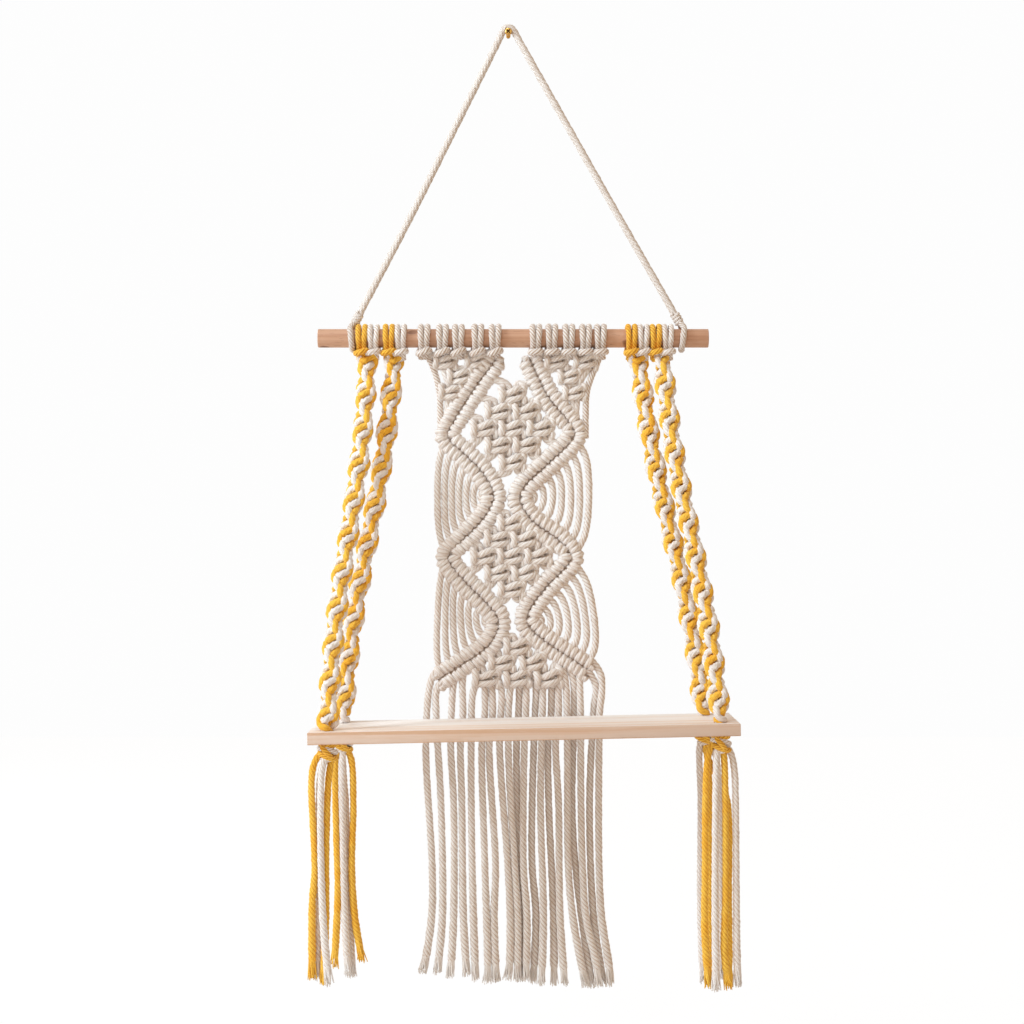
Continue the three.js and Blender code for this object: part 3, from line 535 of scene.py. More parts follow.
# %% Routes of the free cords, in millimetres
HANGER_ROUTE = [
    [-154, -16, -294], [-103.5, -12, -197], [-53.9, -8, -97], [-13.2, -4.7, -14.8], [-4.7, -4, 2.4],
    [-2.8, -4, 4.5], [0, -4, 5.3], [2.8, -4, 4.5], [4.6, -4, 2.7], [14.5, -4.7, -14.8], [60.6, -8, -97],
    [116.2, -12, -196], [172, -16, -294],
]
FRINGE_ANCHOR = [5, -16, -671]
FRINGE_ROUTES = [
    [[-71, 0, 18], [-79, 0, 13], [-84.5, -0.2, 3], [-89.5, -1, -59.5], [-83, -1, -185.5],
     [-83.5, -1, -237], [-92, -1, -291], [-94.5, -1, -296.5]],
    [[-66.5, 0, 4.5], [-74, -0.2, 2], [-78.5, -0.5, -6.5], [-79, -1, -29], [-74, -1, -121],
     [-72.5, -1, -237], [-78, -1, -297.5]],
    [[-58.5, 0, 11], [-61, -0.2, 1.5], [-64, -1, -59.5], [-61, -1, -121], [-61, -1, -237],
     [-64.5, -1, -301.5]],
    [[-50.5, 0, 15], [-52, -0.2, 3], [-51.5, -1, -29], [-54, -1, -59.5], [-52.5, -1, -121],
     [-51, -1, -237], [-47.5, -1, -299.5]],
    [[-33, 0, 8], [-38.5, -0.3, -0.5], [-41.5, -0.6, -10.5], [-43, -1, -59.5], [-42, -1, -185.5],
     [-38.5, -1, -304.5]],
    [[-29, -0.2, 1.5], [-29, -1, -29], [-32, -1, -59.5], [-29, -1, -185.5], [-26, -1, -291],
     [-27, -1, -306.5]],
    [[-22, -0.2, 1.5], [-21, -1, -29], [-24.5, -1, -59.5], [-18, -1, -185.5], [-19.5, -1, -237],
     [-17.5, -1, -306.5]],
    [[-16.5, 0, 8], [-12, -0.5, -5.5], [-14, -1, -59.5], [-5.5, -1, -185.5], [-3, -1, -237],
     [-4, -1, -291], [-6.5, -1, -303.5]],
    [[-0.5, -0.1, 1], [-3, -0.5, -5.5], [-5, -1, -59.5], [1.5, -1, -185.5], [4.5, -1, -237],
     [4.5, -1, -305.5]],
    [[6.5, 1.5, 2], [5.5, 5.4, -29.5], [3.5, 5.4, -60.5], [4, 5.4, -122], [8, 5.4, -238], [8, 5.4, -306]],
    [[13.5, -0.2, 4], [13, -1, -29], [11.5, -1, -59.5], [10.5, -1, -185.5], [14, -1, -237],
     [13, -1, -304.5]],
    [[20.7, 0.2, 16], [23.5, 2.5, -5.5], [22.5, 5.4, -29.5], [19.5, 5.4, -122], [19.5, 5.4, -186.5],
     [23.5, 5.4, -238], [20.5, 5.4, -308]],
    [[30.5, 0, 1], [30, -1, -29], [28, -1, -121], [31, -1, -237], [29, -1, -308.5]],
    [[39.5, 0.2, 8], [39, 5.4, -29.5], [36, 5.4, -60.5], [36.5, 5.4, -122], [41.5, 5.4, -238],
     [42, 5.4, -310]],
    [[46, 0, 7], [46.5, -1, -29], [43.5, -1, -59.5], [46.5, -1, -121], [48, -1, -237], [53, -1, -309.5]],
    [[51, 0, 18], [54, -0.3, 0.5], [55.5, -1, -59.5], [56.5, -1, -185.5], [61, -1, -237],
     [74.5, -1, -310.5]],
    [[58, 0, 17], [62, 1.1, 2.5], [62.5, 5.4, -29.5], [60.5, 5.4, -122], [64, 5.4, -186.5],
     [81, 5.4, -312.5]],
    [[68, 0, 13], [69, -1, -29], [69.5, -1, -121], [71, -1, -185.5], [74.5, -1, -237], [86, -1, -291],
     [87, -1, -310.5]],
    [[75.5, 0, 16], [84.5, 1.5, 0], [82.5, 5.4, -29.5], [78.5, 5.4, -122], [82.5, 5.4, -238],
     [93, 5.4, -311.5]],
    [[81, 0, 24.5], [89.5, 0, 11], [91, -0.4, -4.5], [88.5, -1, -29], [88, -1, -59.5], [88, -1, -185.5],
     [90.5, -1, -237], [98.5, -1, -291], [99.5, -1, -309.5]],
]
TASSEL_ANCHORS = {
    "front_left": [-176.22, -131, -728.05],
    "back_left": [-167.22, -46, -727.85],
    "back_right": [198.7, -46, -720.0],
    "front_right": [207.7, -131, -719.8],
}
TASSEL_ROUTES = {
    "front_left": [
        [[-6, 0, -0.5], [-12, 0, -9], [-15.5, 0, -24.5], [-12.5, 0, -115.5], [-15, 0, -148.5],
         [-15, 0, -224]],
        [[-0.5, -5, -4.5], [-4.5, -5, -13.5], [-6.5, -5, -57.5], [-4, -5, -164.5], [2, -5, -228.5]],
        [[4.5, 1.5, -0.5], [3, 1.5, -12], [1, 1.5, -25], [-1.5, 1.5, -91.5], [-2, 1.5, -165.5],
         [-4.5, 1.5, -229]],
        [[-1.5, 6.5, -6], [-5.5, 6.5, -15.5], [-8.5, 6.5, -34.5], [-8.5, 6.5, -133], [-10.5, 6.5, -225]],
    ],
    "back_left": [
        [[-6, -2.5, -7], [-7.5, -3, -19], [-6.5, -3, -98], [-5, -3, -145.5], [-8.5, -3, -228]],
        [[-0.3, -4, -8], [-0.3, -4, -25], [0, -4, -93.5], [3, -4, -196.5], [6, -4, -237]],
        [[2.5, -1, -5], [8, -1, -15], [10.5, -1, -60.5], [9, -1, -128.5], [12.5, -1, -180],
         [20, -1, -222.5]],
        [[-1, 4, -9], [0, 4.5, -29], [2.5, 4.5, -61.5], [5.5, 4.5, -164], [9.5, 4.5, -239]],
    ],
    "back_right": [
        [[-4.5, -1.5, -6.5], [-5.5, -2, -16.5], [-4, -2, -64.5], [-4.5, -2, -168.5], [-1.5, -2, -251.5]],
        [[1, -3.5, -9], [3, -4, -26.5], [5, -4, -64], [5, -4, -168], [4.5, -4, -247]],
        [[5.5, -1, -7], [8, -1, -12], [11.5, -1, -22], [14.5, -1, -55.5], [16, -1, -168.5],
         [17, -1, -248.5]],
        [[0, 5, -9], [5.5, 6, -27.5], [15.5, 6, -46], [23.5, 6, -66.5], [25, 6, -170], [25.5, 6, -253]],
    ],
    "front_right": [
        [[-6.5, -1, 0.5], [-11.5, -1, -7.5], [-15.5, -1, -138], [-15.5, -1, -188], [-11.5, -1, -240]],
        [[-3.5, -4, -5], [-4.5, -4, -15], [-6, -4, -137.5], [-5, -4, -242]],
        [[1.5, -2, -5.5], [3, -2, -14], [4.5, -2, -146], [3.5, -2, -205.5], [8.5, -2, -241.5]],
        [[4.5, 1, -1], [10.5, 1, -11.5], [13.5, 1, -28], [14.5, 1, -55.5], [15.5, 1, -188.5],
         [16.5, 1, -239]],
    ],
}
TASSEL_COLOURS = {
    "front_left": ["yellow", "white", "yellow", "white"],
    "back_left": ["yellow", "white", "yellow", "white"],
    "back_right": ["white", "yellow", "white", "yellow"],
    "front_right": ["yellow", "white", "yellow", "white"],
}
print("routes:", len(FRINGE_ROUTES), "fringe cords and", len(TASSEL_COLOURS), "tassels")

# %% [markdown]
# The hanger rope is pulled tight, so its twist is long and shallow.

# %% Hanger rope
HANGER_CORD = 7.4 * MM

hanger_path = smooth_path(np.array(HANGER_ROUTE) * MM)
hanger_work = Ropework("hanger_rope")
hanger_work.cord(hanger_path, HANGER_CORD, "natural", "hanger")
hanger_rope = hanger_work.make("hanger_cord")
print("hanger rope:", round(path_length(hanger_path) / MM), "mm")

# %% [markdown]
# The fringe and the tassels hang and end in the air. Each cord is a piece of its own, as in the frame.

# %% Fringe and tassel cords
def hang_cord(node, route, anchor, colour, diameter):
    path = smooth_path((np.array(route) + np.array(anchor)) * MM)
    work = Ropework(node.replace("_cord", ""))
    frayed_cord(work, path, colour, diameter)
    piece = work.make(node)
    print(node, round(path_length(path) / MM), "mm")


for number, route in enumerate(FRINGE_ROUTES, 1):
    hang_cord(f"fringe_cord_{number:02d}", route, FRINGE_ANCHOR, "cream", FRINGE_CORD)
for place, anchor in TASSEL_ANCHORS.items():
    for number, (route, colour) in enumerate(zip(TASSEL_ROUTES[place], TASSEL_COLOURS[place]), 1):
        hang_cord(f"tassel_cord_{place}_{number}", route, anchor, colour, TASSEL_CORD)

# %% [markdown]
# ## Wood finishes
# The rod is a round of pinkish beech with short dark flecks. The board is whitewood, with long faint growth
# lines that a few darker bands cross. Both patterns run along X, so noise is squeezed along that axis.

# %% Rod finish
ROD_PALE = opaque(213, 174, 150)
ROD_MIDDLE = opaque(199, 153, 125)
ROD_DARK = opaque(162, 110, 80)
ROD_FLECK = opaque(122, 78, 52)


def rod_finish():
    finish = Finish("rod_beech")
    place = finish.object_place()
    grain = finish.grain(place, (3.5, 160, 160), 4.0, 0.6)
    band = finish.grain(place, (1.2, 45, 45), 2.0)
    fleck = finish.level(finish.grain(place, (120, 900, 900)), 0.66, 0.74)
    spot = finish.level(finish.grain(place, (45, 110, 110), 0.0), 0.74, 0.80)
    colour = finish.ramp(grain * 0.6 + band * 0.4, [(0.3, ROD_DARK), (0.48, ROD_MIDDLE), (0.7, ROD_PALE)])
    colour = finish.mix(fleck * 0.35, colour, ROD_FLECK)
    finish.set("Base Color", finish.mix(spot * 0.75, colour, ROD_FLECK))
    finish.set("Roughness", grain * 0.2 + 0.45)
    finish.set("Specular IOR Level", 0.35)
    finish.bump(grain * 0.6 - fleck * 0.4, 0.0002, 0.6)
    return finish.material


rod_beech = rod_finish()
print("rod finish:", rod_beech.name)

# %% [markdown]
# The board's lines wander, so its noise is bent by a second, slower noise. Its front edge is cut across the
# growth lines and is darker: partly its own tan tone, and partly painted shade, as the front takes less light
# than the top. It has a darker streak along the upper left, and a dark rim at the bottom, which is painted
# shade on the lower bevel.

# %% Board finish
BOARD_PALE = opaque(244, 238, 236)
BOARD_MIDDLE = opaque(240, 229, 223)
BOARD_DARK = opaque(228, 203, 186)
BOARD_EDGE_TONE_AND_SHADE = opaque(198, 150, 112)
BOARD_FRONT = -0.1505
BOARD_TILT = math.radians(1.23)
BOARD_MIDDLE_X = 0.0154
BOARD_MIDDLE_Z = -0.7094
GRAIN_SHIFT = (-0.02, 0.11, 0.72)
GRAIN_WANDER = (0, 0.03, 0.03)


def board_finish():
    finish = Finish("board_whitewood")
    centred = finish.node("ShaderNodeMapping", 0, None, {
        "Vector": finish.object_place(), "Location": GRAIN_SHIFT, "Rotation": (0, BOARD_TILT, 0),
    })
    wander = finish.grain(centred, (3, 6, 6))
    aside = finish.node("ShaderNodeCombineXYZ", 0, None, {"Y": wander, "Z": wander * 0.6})
    settings = {"operation": "MULTIPLY_ADD"}
    bent = finish.node("ShaderNodeVectorMath", 0, settings, {0: aside, 1: GRAIN_WANDER, 2: centred})
    lines = finish.grain(bent, (1.6, 190, 190), 3.0, 0.65)
    bands = finish.grain(bent, (1.0, 38, 55))
    pores = finish.grain(bent, (60, 1500, 1500))
    stops = [(0.36, BOARD_DARK), (0.46, BOARD_MIDDLE), (0.6, BOARD_PALE)]
    colour = finish.ramp(lines * 0.45 + bands * 0.55, stops)
    # The front face is darker: partly its own tan tone, partly painted shade.
    front = finish.level(finish.axis("Y"), BOARD_FRONT + 0.0004, BOARD_FRONT)
    right = finish.axis("X")
    height = finish.axis("Z") - BOARD_MIDDLE_Z - (right - BOARD_MIDDLE_X) * math.tan(BOARD_TILT)
    streak = finish.level(height + wander * 0.006, 0.0045, 0.0062) * finish.level(right, 0.22, -0.10)
    # Painted shade: a dark rim along the bottom of the front face, on the lower bevel.
    rim_shade = finish.level(height, -0.0049, -0.0056)
    colour = finish.mix(front * (streak * 0.32 + rim_shade * 0.4 + 0.52), colour, BOARD_EDGE_TONE_AND_SHADE)
    finish.set("Base Color", finish.mix(finish.level(pores, 0.6, 0.72) * 0.25, colour, BOARD_DARK))
    finish.set("Roughness", lines * 0.15 + 0.5)
    finish.set("Specular IOR Level", 0.3)
    finish.bump(lines * 0.7 + pores * 0.3, 0.00015, 0.5)
    return finish.material


board_whitewood = board_finish()
print("board finish:", board_whitewood.name)

# %% [markdown]
# ## Rod
# A turned rod is a cylinder with softened ends. It starts as a 64-sided cylinder, the end faces are inset so
# that their grain has its own ring of faces, and a bevel modifier breaks the two sharp edges.

# %% Rod
ROD_PLACE = np.array([5.0, -16.0, -316.0])
ROD_CENTRE = Vector(ROD_PLACE) * MM
ROD_LENGTH = 400 * MM
ROD_RADIUS = 9.5 * MM


def select_faces(mesh, test):
    for face in mesh.polygons:
        face.select = test(face)
    for edge in mesh.edges:
        edge.select = False
    for corner in mesh.vertices:
        corner.select = False


def apply_place():
    bpy.ops.object.transform_apply(location=True, rotation=True, scale=True)


def settle(piece, node, finish):
    """Moves a finished piece's place into its mesh and joins it to the frame."""
    apply_place()
    piece.data.materials.clear()
    piece.data.materials.append(finish)
    join_frame(piece, node)
    piece.select_set(False)


def apply_modifiers(piece):
    bpy.context.view_layer.objects.active = piece
    for modifier in list(piece.modifiers):
        bpy.ops.object.modifier_apply(modifier=modifier.name)


def bevel(piece, width, segments):
    modifier = piece.modifiers.new("edge", "BEVEL")
    modifier.width = width
    modifier.segments = segments
    modifier.limit_method = "ANGLE"
    modifier.angle_limit = math.radians(35)
    apply_modifiers(piece)


bpy.ops.mesh.primitive_cylinder_add(
    vertices=64, radius=ROD_RADIUS, depth=ROD_LENGTH, location=ROD_CENTRE, rotation=(0, math.pi / 2, 0),
)
rod = bpy.context.object
rod.name = "rod"
bpy.ops.object.mode_set(mode="EDIT")
bpy.ops.mesh.select_mode(type="FACE")
bpy.ops.object.mode_set(mode="OBJECT")
select_faces(rod.data, lambda face: abs(face.normal.z) > 0.9)
bpy.ops.object.mode_set(mode="EDIT")
bpy.ops.mesh.inset(thickness=ROD_RADIUS / 3, use_individual=True)
bpy.ops.object.mode_set(mode="OBJECT")
bevel(rod, 0.8 * MM, 3)
bpy.ops.object.shade_smooth_by_angle(angle=math.radians(40))
settle(rod, "dowel", rod_beech)

# %% [markdown]
# ## Board
# The board is planed, with four drilled holes and slightly softened edges. A box is cut by four cylinders
# with a boolean modifier, and a bevel goes round every sharp edge, hole mouths included.

# %% Board
BOARD_SIZE = Vector((420, 125, 12)) * MM
BOARD_TOP = Vector((15.3, -88.5, -703.4)) * MM
BOARD_NORMAL = Vector((-math.sin(BOARD_TILT), 0, math.cos(BOARD_TILT)))
BOARD_CENTRE = BOARD_TOP - BOARD_NORMAL * BOARD_SIZE.z / 2
BOARD_RIGHT = Vector((math.cos(BOARD_TILT), 0, math.sin(BOARD_TILT)))
HOLE_RADIUS = 6.5 * MM
HOLE_PLACES = {
    "front_left": Vector((-192, -42.5, 0)) * MM,
    "back_left": Vector((-183, 42.5, 0)) * MM,
    "back_right": Vector((183, 42.5, 0)) * MM,
    "front_right": Vector((192, -42.5, 0)) * MM,
}


def board_point(place, height):
    """A point given in the board's own tilted directions."""
    return BOARD_CENTRE + BOARD_RIGHT * place.x + Vector((0, place.y, 0)) + BOARD_NORMAL * height


def new_tool():
    """The primitive that was just added, ready to cut with."""
    tool = bpy.context.object
    apply_place()
    tool.select_set(False)
    return tool


def add_drill(place):
    bpy.ops.mesh.primitive_cylinder_add(
        vertices=48, radius=HOLE_RADIUS, depth=3 * BOARD_SIZE.z,
        location=board_point(place, 0), rotation=(0, -BOARD_TILT, 0),
    )
    return new_tool()


def cut(piece, tools):
    """Takes the tools' shapes out of a piece."""
    for tool in tools:
        modifier = piece.modifiers.new("cut", "BOOLEAN")
        modifier.operation = "DIFFERENCE"
        modifier.solver = "EXACT"
        modifier.object = tool
    apply_modifiers(piece)
    for tool in tools:
        bpy.data.objects.remove(tool)


drills = [add_drill(place) for place in HOLE_PLACES.values()]
bpy.ops.mesh.primitive_cube_add(size=1, location=BOARD_CENTRE, rotation=(0, -BOARD_TILT, 0), scale=BOARD_SIZE)
board = bpy.context.object
board.name = "board"
apply_place()
cut(board, drills)
bevel(board, 0.7 * MM, 2)
board.select_set(True)
bpy.ops.object.shade_smooth_by_angle(angle=math.radians(30))
settle(board, "shelf_board", board_whitewood)

# %% [markdown]
# ## Screw
# The screw is turned brass: a low round head with a cross recess, a plain neck for the rope and a thread in
# the wall. The profile is spun round the Y axis, and the thread is one triangle carried along a helix.

# %% Brass finish
def brass_finish():
    finish = Finish("screw_brass")
    place = finish.object_place()
    wear = finish.noise(place, 700, 3.0)
    brass = finish.mix(wear, opaque(226, 180, 100), opaque(190, 134, 62))
    depth = finish.axis("Y")
    flat = finish.stretch(place, (1, 0, 1))
    across = finish.node("ShaderNodeVectorMath", "Value", {"operation": "LENGTH"}, {0: flat})
    sunk = finish.level(depth, -0.01065, -0.01045) * finish.level(across, 0.0026, 0.0024)
    # Painted shade: the cross recess in the head is painted near black, as its hollow lies in shade.
    recess_shade = sunk * finish.level(depth, -0.0082, -0.0084)
    finish.set("Base Color", finish.mix(recess_shade * 0.95, brass, opaque(46, 30, 14)))
    finish.set("Metallic", 1.0)
    finish.set("Roughness", wear * 0.2 + 0.2)
    finish.bump(wear, 0.00003, 0.4)
    return finish.material


screw_brass = brass_finish()
print("screw finish:", screw_brass.name)

# %% [markdown]
# The profile gives each step of the screw's outline as a radius and a depth in millimetres. Spinning it round
# needs one operator. Two crossed bars then cut the recess into the head.

# %% Screw body and recess
SCREW_PROFILE = [
    (0, -10.9), (1.6, -10.9), (2.9, -10.6), (3.6, -9.9), (3.8, -9.0), (3.8, -8.0), (2.0, -8.0), (2.0, 1.8),
    (1.6, 2.4), (1.6, 19.5), (1.2, 20.6), (0, 23.0),
]
RECESS_ARM = Vector((4.8, 3.4, 1.3)) * MM
RECESS_PLACE = (0, -10.9 * MM, 0)


def add_screw_body():
    corners = [(radius * MM, depth * MM, 0) for radius, depth in SCREW_PROFILE]
    screw = add_mesh("screw", corners, [(i, i + 1) for i in range(len(corners) - 1)], [])
    bpy.context.view_layer.objects.active = screw
    screw.select_set(True)
    bpy.ops.object.mode_set(mode="EDIT")
    bpy.ops.mesh.select_all(action="SELECT")
    bpy.ops.mesh.spin(steps=40, angle=2 * math.pi, center=(0, 0, 0), axis=(0, 1, 0))
    bpy.ops.mesh.select_all(action="SELECT")
    bpy.ops.mesh.remove_doubles(threshold=0.00001)
    bpy.ops.mesh.normals_make_consistent(inside=False)
    bpy.ops.object.mode_set(mode="OBJECT")
    return screw


def add_arm(angle):
    bpy.ops.mesh.primitive_cube_add(size=1, location=RECESS_PLACE, rotation=(0, angle, 0), scale=RECESS_ARM)
    return new_tool()


screw = add_screw_body()
for angle in (math.pi / 4, -math.pi / 4):
    cut(screw, [add_arm(angle)])
print("screw:", len(screw.data.polygons), "faces without its thread")

# %% [markdown]
# The thread's triangle shrinks over its first and last turn, as on a real screw. The screw and the thread are
# joined into one mesh.

# %% Thread
THREAD_PITCH = 3.0
THREAD_TURNS = 5.6
THREAD_STEPS = 24
THREAD_BEGIN = 3.2
THREAD_ROOT = 1.45
THREAD_SECTION = [(THREAD_ROOT, 0.95), (2.3, 0.0), (THREAD_ROOT, -0.95)]


def add_thread():
    """A triangle carried along a helix, lower at both ends."""
    corners = []
    end = THREAD_TURNS * THREAD_STEPS
    count = round(end) + 1
    for step in range(count):
        angle = 2 * math.pi * step / THREAD_STEPS
        share = min(1, step / THREAD_STEPS, (end - step) / THREAD_STEPS)
        for radius, offset in THREAD_SECTION:
            radius = THREAD_ROOT + (radius - THREAD_ROOT) * max(share, 0.05)
            depth = THREAD_BEGIN + THREAD_PITCH * step / THREAD_STEPS + offset * max(share, 0.3)
            corners.append(Vector((radius * math.cos(angle), depth, radius * math.sin(angle))) * MM)
    faces = [[0, 1, 2], [3 * count - 1, 3 * count - 2, 3 * count - 3]]
    for ring in range(0, 3 * count - 3, 3):
        for a, b in ((0, 1), (1, 2), (2, 0)):
            faces.append([ring + a, ring + a + 3, ring + b + 3, ring + b])
    return add_mesh("thread", corners, [], faces)


thread = add_thread()
bpy.ops.object.select_all(action="DESELECT")
thread.select_set(True)
screw.select_set(True)
bpy.context.view_layer.objects.active = screw
bpy.ops.object.join()
bpy.ops.object.mode_set(mode="EDIT")
bpy.ops.mesh.select_all(action="SELECT")
bpy.ops.mesh.normals_make_consistent(inside=False)
bpy.ops.object.mode_set(mode="OBJECT")
bpy.ops.object.shade_smooth_by_angle(angle=math.radians(35))
settle(screw, "wall_screw", screw_brass)

# %% [markdown]
# ## Hanger loops
# Each end of the hanger rope goes once round the rod and is tied off just above it: three tight turns round
# the standing rope, with the short tail left behind the rod.

# %% Hanger loops
LOOPS = {
    "left": {"x": -160.6, "side": -1, "route": HANGER_ROUTE},
    "right": {"x": 178.6, "side": 1, "route": HANGER_ROUTE[::-1]},
}
LOOP_RADIUS = 11.8 * MM
LOOP_ANGLES = np.linspace(-0.35, 2 * np.pi - 0.5, 60)
LOOP_SHIFT = 1.2 * MM
LOOP_REACH = 5 * MM
LOOP_CORD = 6.4 * MM
LOOP_NARROW = 0.62
LOOP_SWELL = 24 * MM
COIL_TURNS = 3.2
COIL_POINTS = 70
COIL_PITCH = 3.4 * MM
COIL_DROP = 0.4
COIL_RADIUS = 3.3 * MM
COIL_CORD = 3.9 * MM
TAIL_PLACES = [(-2.2, -312), (-8.0, -328)]
TAIL_CORD = 4.6 * MM


def tie_loop(name, x, side, route):
    knot, after = np.array(route[:2], float) * MM
    lean = (after - knot) / np.linalg.norm(after - knot)
    sideways = np.cross(lean, [0, 1, 0])
    forward = np.cross(sideways, lean)
    work = Ropework("hanger_loop_" + name)
    turn = np.column_stack([
        x * MM + side * LOOP_SHIFT * np.cos(LOOP_ANGLES),
        ROD_CENTRE.y - LOOP_RADIUS * np.sin(LOOP_ANGLES),
        ROD_CENTRE.z + LOOP_RADIUS * np.cos(LOOP_ANGLES),
    ])
    leave, back = [knot - lean * LOOP_REACH + forward * LOOP_SHIFT * way for way in (-1, 1)]
    last = turn[-1] + np.array([-side * 1.6, 2.0, 5.0]) * MM
    path = smooth_path([knot, leave, *turn[8::6], last, back, knot])
    ends = np.minimum(np.arange(len(path)), np.arange(len(path))[::-1])
    widths = np.clip(LOOP_NARROW + ends * RING_STEP / LOOP_SWELL, LOOP_NARROW, 1)
    work.cord(path, LOOP_CORD, "natural", widths=widths)
    coil = np.linspace(0, COIL_TURNS * 2 * np.pi, COIL_POINTS)[:, None]
    wrap = knot + lean * (coil / (2 * np.pi) - COIL_TURNS / 2 - COIL_DROP) * COIL_PITCH
    wrap = wrap + (sideways * np.cos(coil) - forward * np.sin(coil)) * COIL_RADIUS
    work.cord(even_path(wrap), COIL_CORD, "natural", "coil")
    tail = [np.array([x + side * 0.5, *place]) * MM for place in TAIL_PLACES]
    work.cord(smooth_path([back, *tail]), TAIL_CORD, "natural")
    work.make("hanger_knot_" + name)


for name, loop in LOOPS.items():
    tie_loop(name, **loop)

# %% [markdown]
# ## Lark's heads
# A folded cord is passed behind the rod from above and its ends go through the fold. From the front that is
# two strands side by side over the rod and, just under it, the fold as a short bar. One path draws it all.

# %% Lark's heads
HEAD_ANGLES = [math.radians(angle) for angle in (118, 95, 65, 30, 0, -30, -60, -90, -120, -148)]
HEAD_OFFSETS = [2.5, 2.9, 3.3, 3.4, 3.4, 3.4, 3.4, 3.4, 3.6, 4.0]
HEAD_RADIUS = 12.1
HEAD_TUCK = 1.5
HEAD_BAR = [(5.6, -21.5, -14.8, 0.6), (4.9, -28.0, -14.4, 1)]
HEAD_FOLD = (-30.4, -14.6)


def larks_head(work, x, colour, drop, diameter, tilt):
    """x is the place along the rod in millimetres, and drop how far the ends hang below its centre."""
    _, back, height = ROD_PLACE
    halves = []
    for side in (-1, 1):
        half = [[x + side * 3.0, -16.5, height - drop], [x + side * 2.5, -19.0, height - 16.5]]
        for turn, offset in zip(HEAD_ANGLES, HEAD_OFFSETS):
            half.append([
                x + side * offset, back - HEAD_RADIUS * math.sin(turn), height + HEAD_RADIUS * math.cos(turn),
            ])
        half[2][1] += HEAD_TUCK
        for offset, front, down, share in HEAD_BAR:
            half.append([x + side * offset, front, height + down + side * tilt * share])
        halves.append(half)
    left, right = halves
    whole = [*left, [x, HEAD_FOLD[0], height + HEAD_FOLD[1]], *right[::-1]]
    work.cord_through(whole, diameter, colour)

# %% [markdown]
# ## Twisted ropes
# Each sennit is a row of half knots, always tied the same way, so it twists. Two cords run straight down the
# middle, and a white and a yellow cord take turns to cross in front of them. Each crossing cord rises a
# little to the right, slips under the other cord, comes out at the edge, drops over the other's next
# crossing and goes round to the back, where it does the same. The table gives one crossing and drop, as
# places to the right, backwards and down. Edges show as steep strands and crossings as short bars.

# %% Sennit places
HALF_KNOT = 7.4
SENNIT_ROUND = [
    [-5.0, -3.2, 10.1], [-2.4, -3.8, 8.3], [1.2, -4.0, 6.8], [4.4, -3.0, 5.6], [6.7, -1.3, 5.6],
    [7.8, -1.9, 8.9], [7.0, -4.2, 12.7], [5.8, -3.4, 16.0], [5.4, 0.4, 17.6],
]
SENNITS = {
    "front_left": {"start": -149.0, "half_turn": 37.3, "first_turn": -0.5, "neck_turn": 40},
    "back_left": {"start": -121.2, "half_turn": 38.7, "first_turn": -0.03, "neck_turn": 40},
    "back_right": {"start": 127.2, "half_turn": 38.7, "first_turn": -0.18, "neck_turn": 40},
    "front_right": {"start": 152.0, "half_turn": 36.6, "first_turn": 0.26, "neck_turn": -90},
}
SENNIT_TOP = -12.8
SENNIT_SWAY = 3.4
NECK_HEIGHTS = (5, -6, -12)
NECK_RADIUS = 3.1


def hole_point(place, height):
    """A point on the middle line of a hole in the board, in millimetres."""
    return np.array(board_point(HOLE_PLACES[place], height * MM)) / MM


def sennit_axis(place):
    return ROD_PLACE + [SENNITS[place]["start"], 0, SENNIT_TOP], hole_point(place, BOARD_SIZE.z / MM / 2)


def sennit_point(place, drop):
    """The middle of the sennit at a distance below its start."""
    start, mouth = sennit_axis(place)
    share = drop / np.linalg.norm(mouth - start)
    side = -1 if "left" in place else 1
    centre = start + (mouth - start) * share
    centre[0] -= side * SENNIT_SWAY * math.sin(2 * math.pi * share)
    return centre


def beside_axis(place, drop, right, back, slack=1.0):
    """A point beside the sennit's middle, in directions that turn with its drop."""
    turn = math.pi * drop / SENNITS[place]["half_turn"] + SENNITS[place]["first_turn"]
    cosine, sine = math.cos(turn), math.sin(turn)
    offset = np.array([right * cosine - back * sine, right * sine + back * cosine, 0]) * slack
    return sennit_point(place, drop) + offset


def neck_points(place, turn):
    """One strand's way through the hole in the board."""
    offset = np.array([math.cos(turn), math.sin(turn), 0]) * NECK_RADIUS
    return [hole_point(place, height) + offset for height in NECK_HEIGHTS]


for place in SENNITS:
    print("sennit", place, round(math.dist(*sennit_axis(place))), "mm")

# %% [markdown]
# Each sennit hangs from two lark's heads. The crossing cords and the straight ones start at their legs, and
# all four run down through the hole in the board.

# %% Sennits
SENNIT_BEGIN = 9.0
SENNIT_END = 3.0
SENNIT_CORD = 6.8 * MM
SENNIT_SLACK = (0.95, 1.05)
SENNIT_HEAD_GAP = 6.1
SENNIT_HEAD = {"drop": 22, "diameter": 6.0 * MM, "tilt": 1.4}
HEAD_LEG = 2.6
CORE_BEGIN = 4.0
CORE_STEP = 9.0
CORE_GAP = 2.3
CORE_CORD = 4.6 * MM
COARSE_STEP = 2.5 * MM


